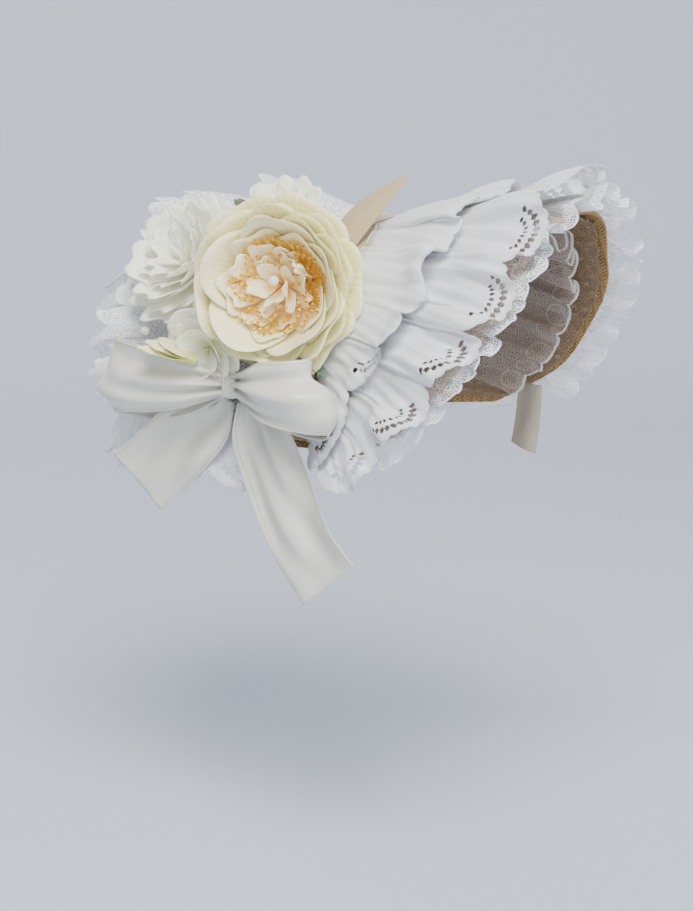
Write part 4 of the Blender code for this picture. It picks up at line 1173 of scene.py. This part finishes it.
def ribbon(name, path, across, width, pleat, crown, node, seed):
    """A satin strip: a path with a vector across it, its width, pleats sin(6 pi lay) that die
    out away from the knot, a crown cos(pi lay) over the middle of its width, and soft rumples
    that run slantwise along it."""
    face = unit(np.cross(across, np.gradient(path, axis=0)))
    way = np.linspace(0.0, 1.0, len(path))[:, None]
    rumple = RIBBON_RUMPLE * np.sin(np.pi * way) ** 0.6 * (
        np.sin(2 * np.pi * (1.3 * ribbon_lay + 0.8 * way) + seed)
        + 0.5 * np.sin(2 * np.pi * (2.3 * ribbon_lay - 1.1 * way) + 2.0 * seed))
    bulge = (pleat[:, None] * np.sin(6 * np.pi * ribbon_lay + seed)
             + crown[:, None] * np.cos(np.pi * ribbon_lay) + rumple)
    points = (BOW_AT + path[:, None] + across[:, None] * (width[:, None] * ribbon_lay)[..., None]
              + face[:, None] * bulge[..., None])
    length = run(path, 0)
    thing = mesh_of(name, points, stacked(length[:, None], (ribbon_lay + 0.5) * RIBBON_WIDTH))
    thing["strip_length"], thing["strip_width"] = float(length[-1]), float(width.mean())
    sew(thing, ivory_satin, node, wall=SATIN_WALL)


def squarish(wave):
    """A sine or cosine with fuller shoulders."""
    return np.sign(wave) * np.abs(wave) ** 0.7


loop_way = np.linspace(0.0, 1.0, 91)
loop_out = read(LOOP, "reach", loop_way)
loop_start = KNOT_WIDTH / 2 - KNOT_CLEARANCE
loop_back_part = np.clip(2.0 * loop_way - 1.0, 0.0, 1.0)
for loop_name, loop_sign, loop_reach, loop_tilt, loop_seed in (
        ("bow_loop_back", 1.0, 0.092, -0.15, 0.9), ("bow_loop_front", -1.0, 0.072, 0.42, 3.6)):
    ribbon(loop_name + "_satin",
           stacked(-LOOP_FULLNESS * read(LOOP, "out", loop_way),
                   loop_sign * (loop_start + (loop_reach - loop_start) * loop_out),
                   -LOOP_SINK * np.sin(np.pi * loop_back_part)),
           stacked(0.0, np.sin(loop_tilt * loop_out), np.cos(loop_tilt * loop_out)),
           RIBBON_WIDTH * read(LOOP, "width", loop_way),
           LOOP_PLEATS * np.clip(1.0 - loop_out, 0.0, 1.0) ** 0.9,
           loop_sign * LOOP_CROWN * np.sin(np.pi * loop_way) ** 2, loop_name, loop_seed)
tail_way = np.linspace(0.0, 1.0, 71)
tail_inward = np.array((1.0, 0.0, 0.0))
for tail_name, tail_table, tail_length, tail_twist, tail_seed in (
        ("bow_tail_short", SHORT_TAIL, 0.123, 0.35, 5.1),
        ("bow_tail_long", LONG_TAIL, 0.138, 0.0, 2.2)):
    tail_path = stacked(-LOOP_FULLNESS * read(tail_table, "out", tail_way),
                        tail_length * read(tail_table, "side", tail_way),
                        -KNOT_HEIGHT / 2 - KNOT_CLEARANCE
                        - tail_length * read(tail_table, "down", tail_way))
    tail_ahead = unit(np.gradient(tail_path, axis=0))
    tail_across = (unit(np.cross(tail_ahead, tail_inward))
                   + read(tail_table, "slant", tail_way)[:, None] * tail_ahead
                   + (tail_twist * tail_way)[:, None] * tail_inward)
    ribbon(tail_name + "_satin", tail_path, tail_across,
           RIBBON_WIDTH * read(tail_table, "width", tail_way),
           TAIL_PLEATS * np.clip(1.0 - tail_way * 1.3, 0.0, 1.0) ** 1.3,
           TAIL_CROWN * np.sin(np.pi * (0.15 + 0.7 * tail_way)), tail_name, tail_seed)
knot_round, knot_lay = np.meshgrid(np.linspace(0.0, 2 * np.pi, 49), np.linspace(-1.0, 1.0, 29),
                                   indexing="ij")
knot_size = (1.0 - 0.42 * np.abs(knot_lay) ** 5) * (1.0 + 0.05 * np.sin(
    knot_lay * 13.0 + 1.2 * np.sin(knot_round)))
knot_points = stacked(-KNOT_DEPTH / 2 * knot_size * squarish(np.cos(knot_round)),
                      KNOT_WIDTH / 2 * knot_lay,
                      KNOT_HEIGHT / 2 * knot_size * squarish(np.sin(knot_round)))
dress(mesh_of("bow_knot_satin", knot_points + BOW_AT,
              stacked(knot_round * KNOT_HEIGHT / 4, (knot_lay + 1.0) * RIBBON_WIDTH / 2)),
      ivory_satin, "bow_knot")

# Far streamer: the cut end of an ivory satin tie that hangs inside the brim's left edge, given dark
# grey-beige colours as painted shade for the brim's shadow.
STREAMER_LENGTH = 0.047
STREAMER_WIDTH = 0.021
STREAMER_INSET = 0.016
STREAMER_CURL = 0.010
STREAMER_SLANT = 0.30
STREAMER_WAVE = 0.0022
STREAMER_TURN = 0.82
streamer_foot = brim_surface(np.array(STREAMER_TURN), np.array(1.0))
streamer_way, streamer_side = grid(0.0, 1.0, 41, 25)
streamer_lay = STREAMER_WIDTH * (streamer_side - 0.5)
streamer_wave = STREAMER_WAVE * np.sin(streamer_side * 4.6 + 1.0 + streamer_way)
streamer_points = streamer_foot + stacked(
    streamer_wave - STREAMER_INSET - STREAMER_CURL * streamer_way**2, -streamer_lay,
    -(STREAMER_LENGTH + STREAMER_SLANT * streamer_lay) * streamer_way)
streamer = mesh_of("streamer_satin", streamer_points,
                   stacked(streamer_way * STREAMER_LENGTH, streamer_side * RIBBON_WIDTH))
streamer["strip_length"], streamer["strip_width"] = STREAMER_LENGTH, STREAMER_WIDTH
# Painted shade: the streamer's ivory satin is coloured dark grey-beige for the shadow of the brim.
sew(streamer, satin("shaded_ivory_satin", (0.41, 0.36, 0.28, 1.0), (0.32, 0.28, 0.22, 1.0)),
    "far_streamer", wall=SATIN_WALL)
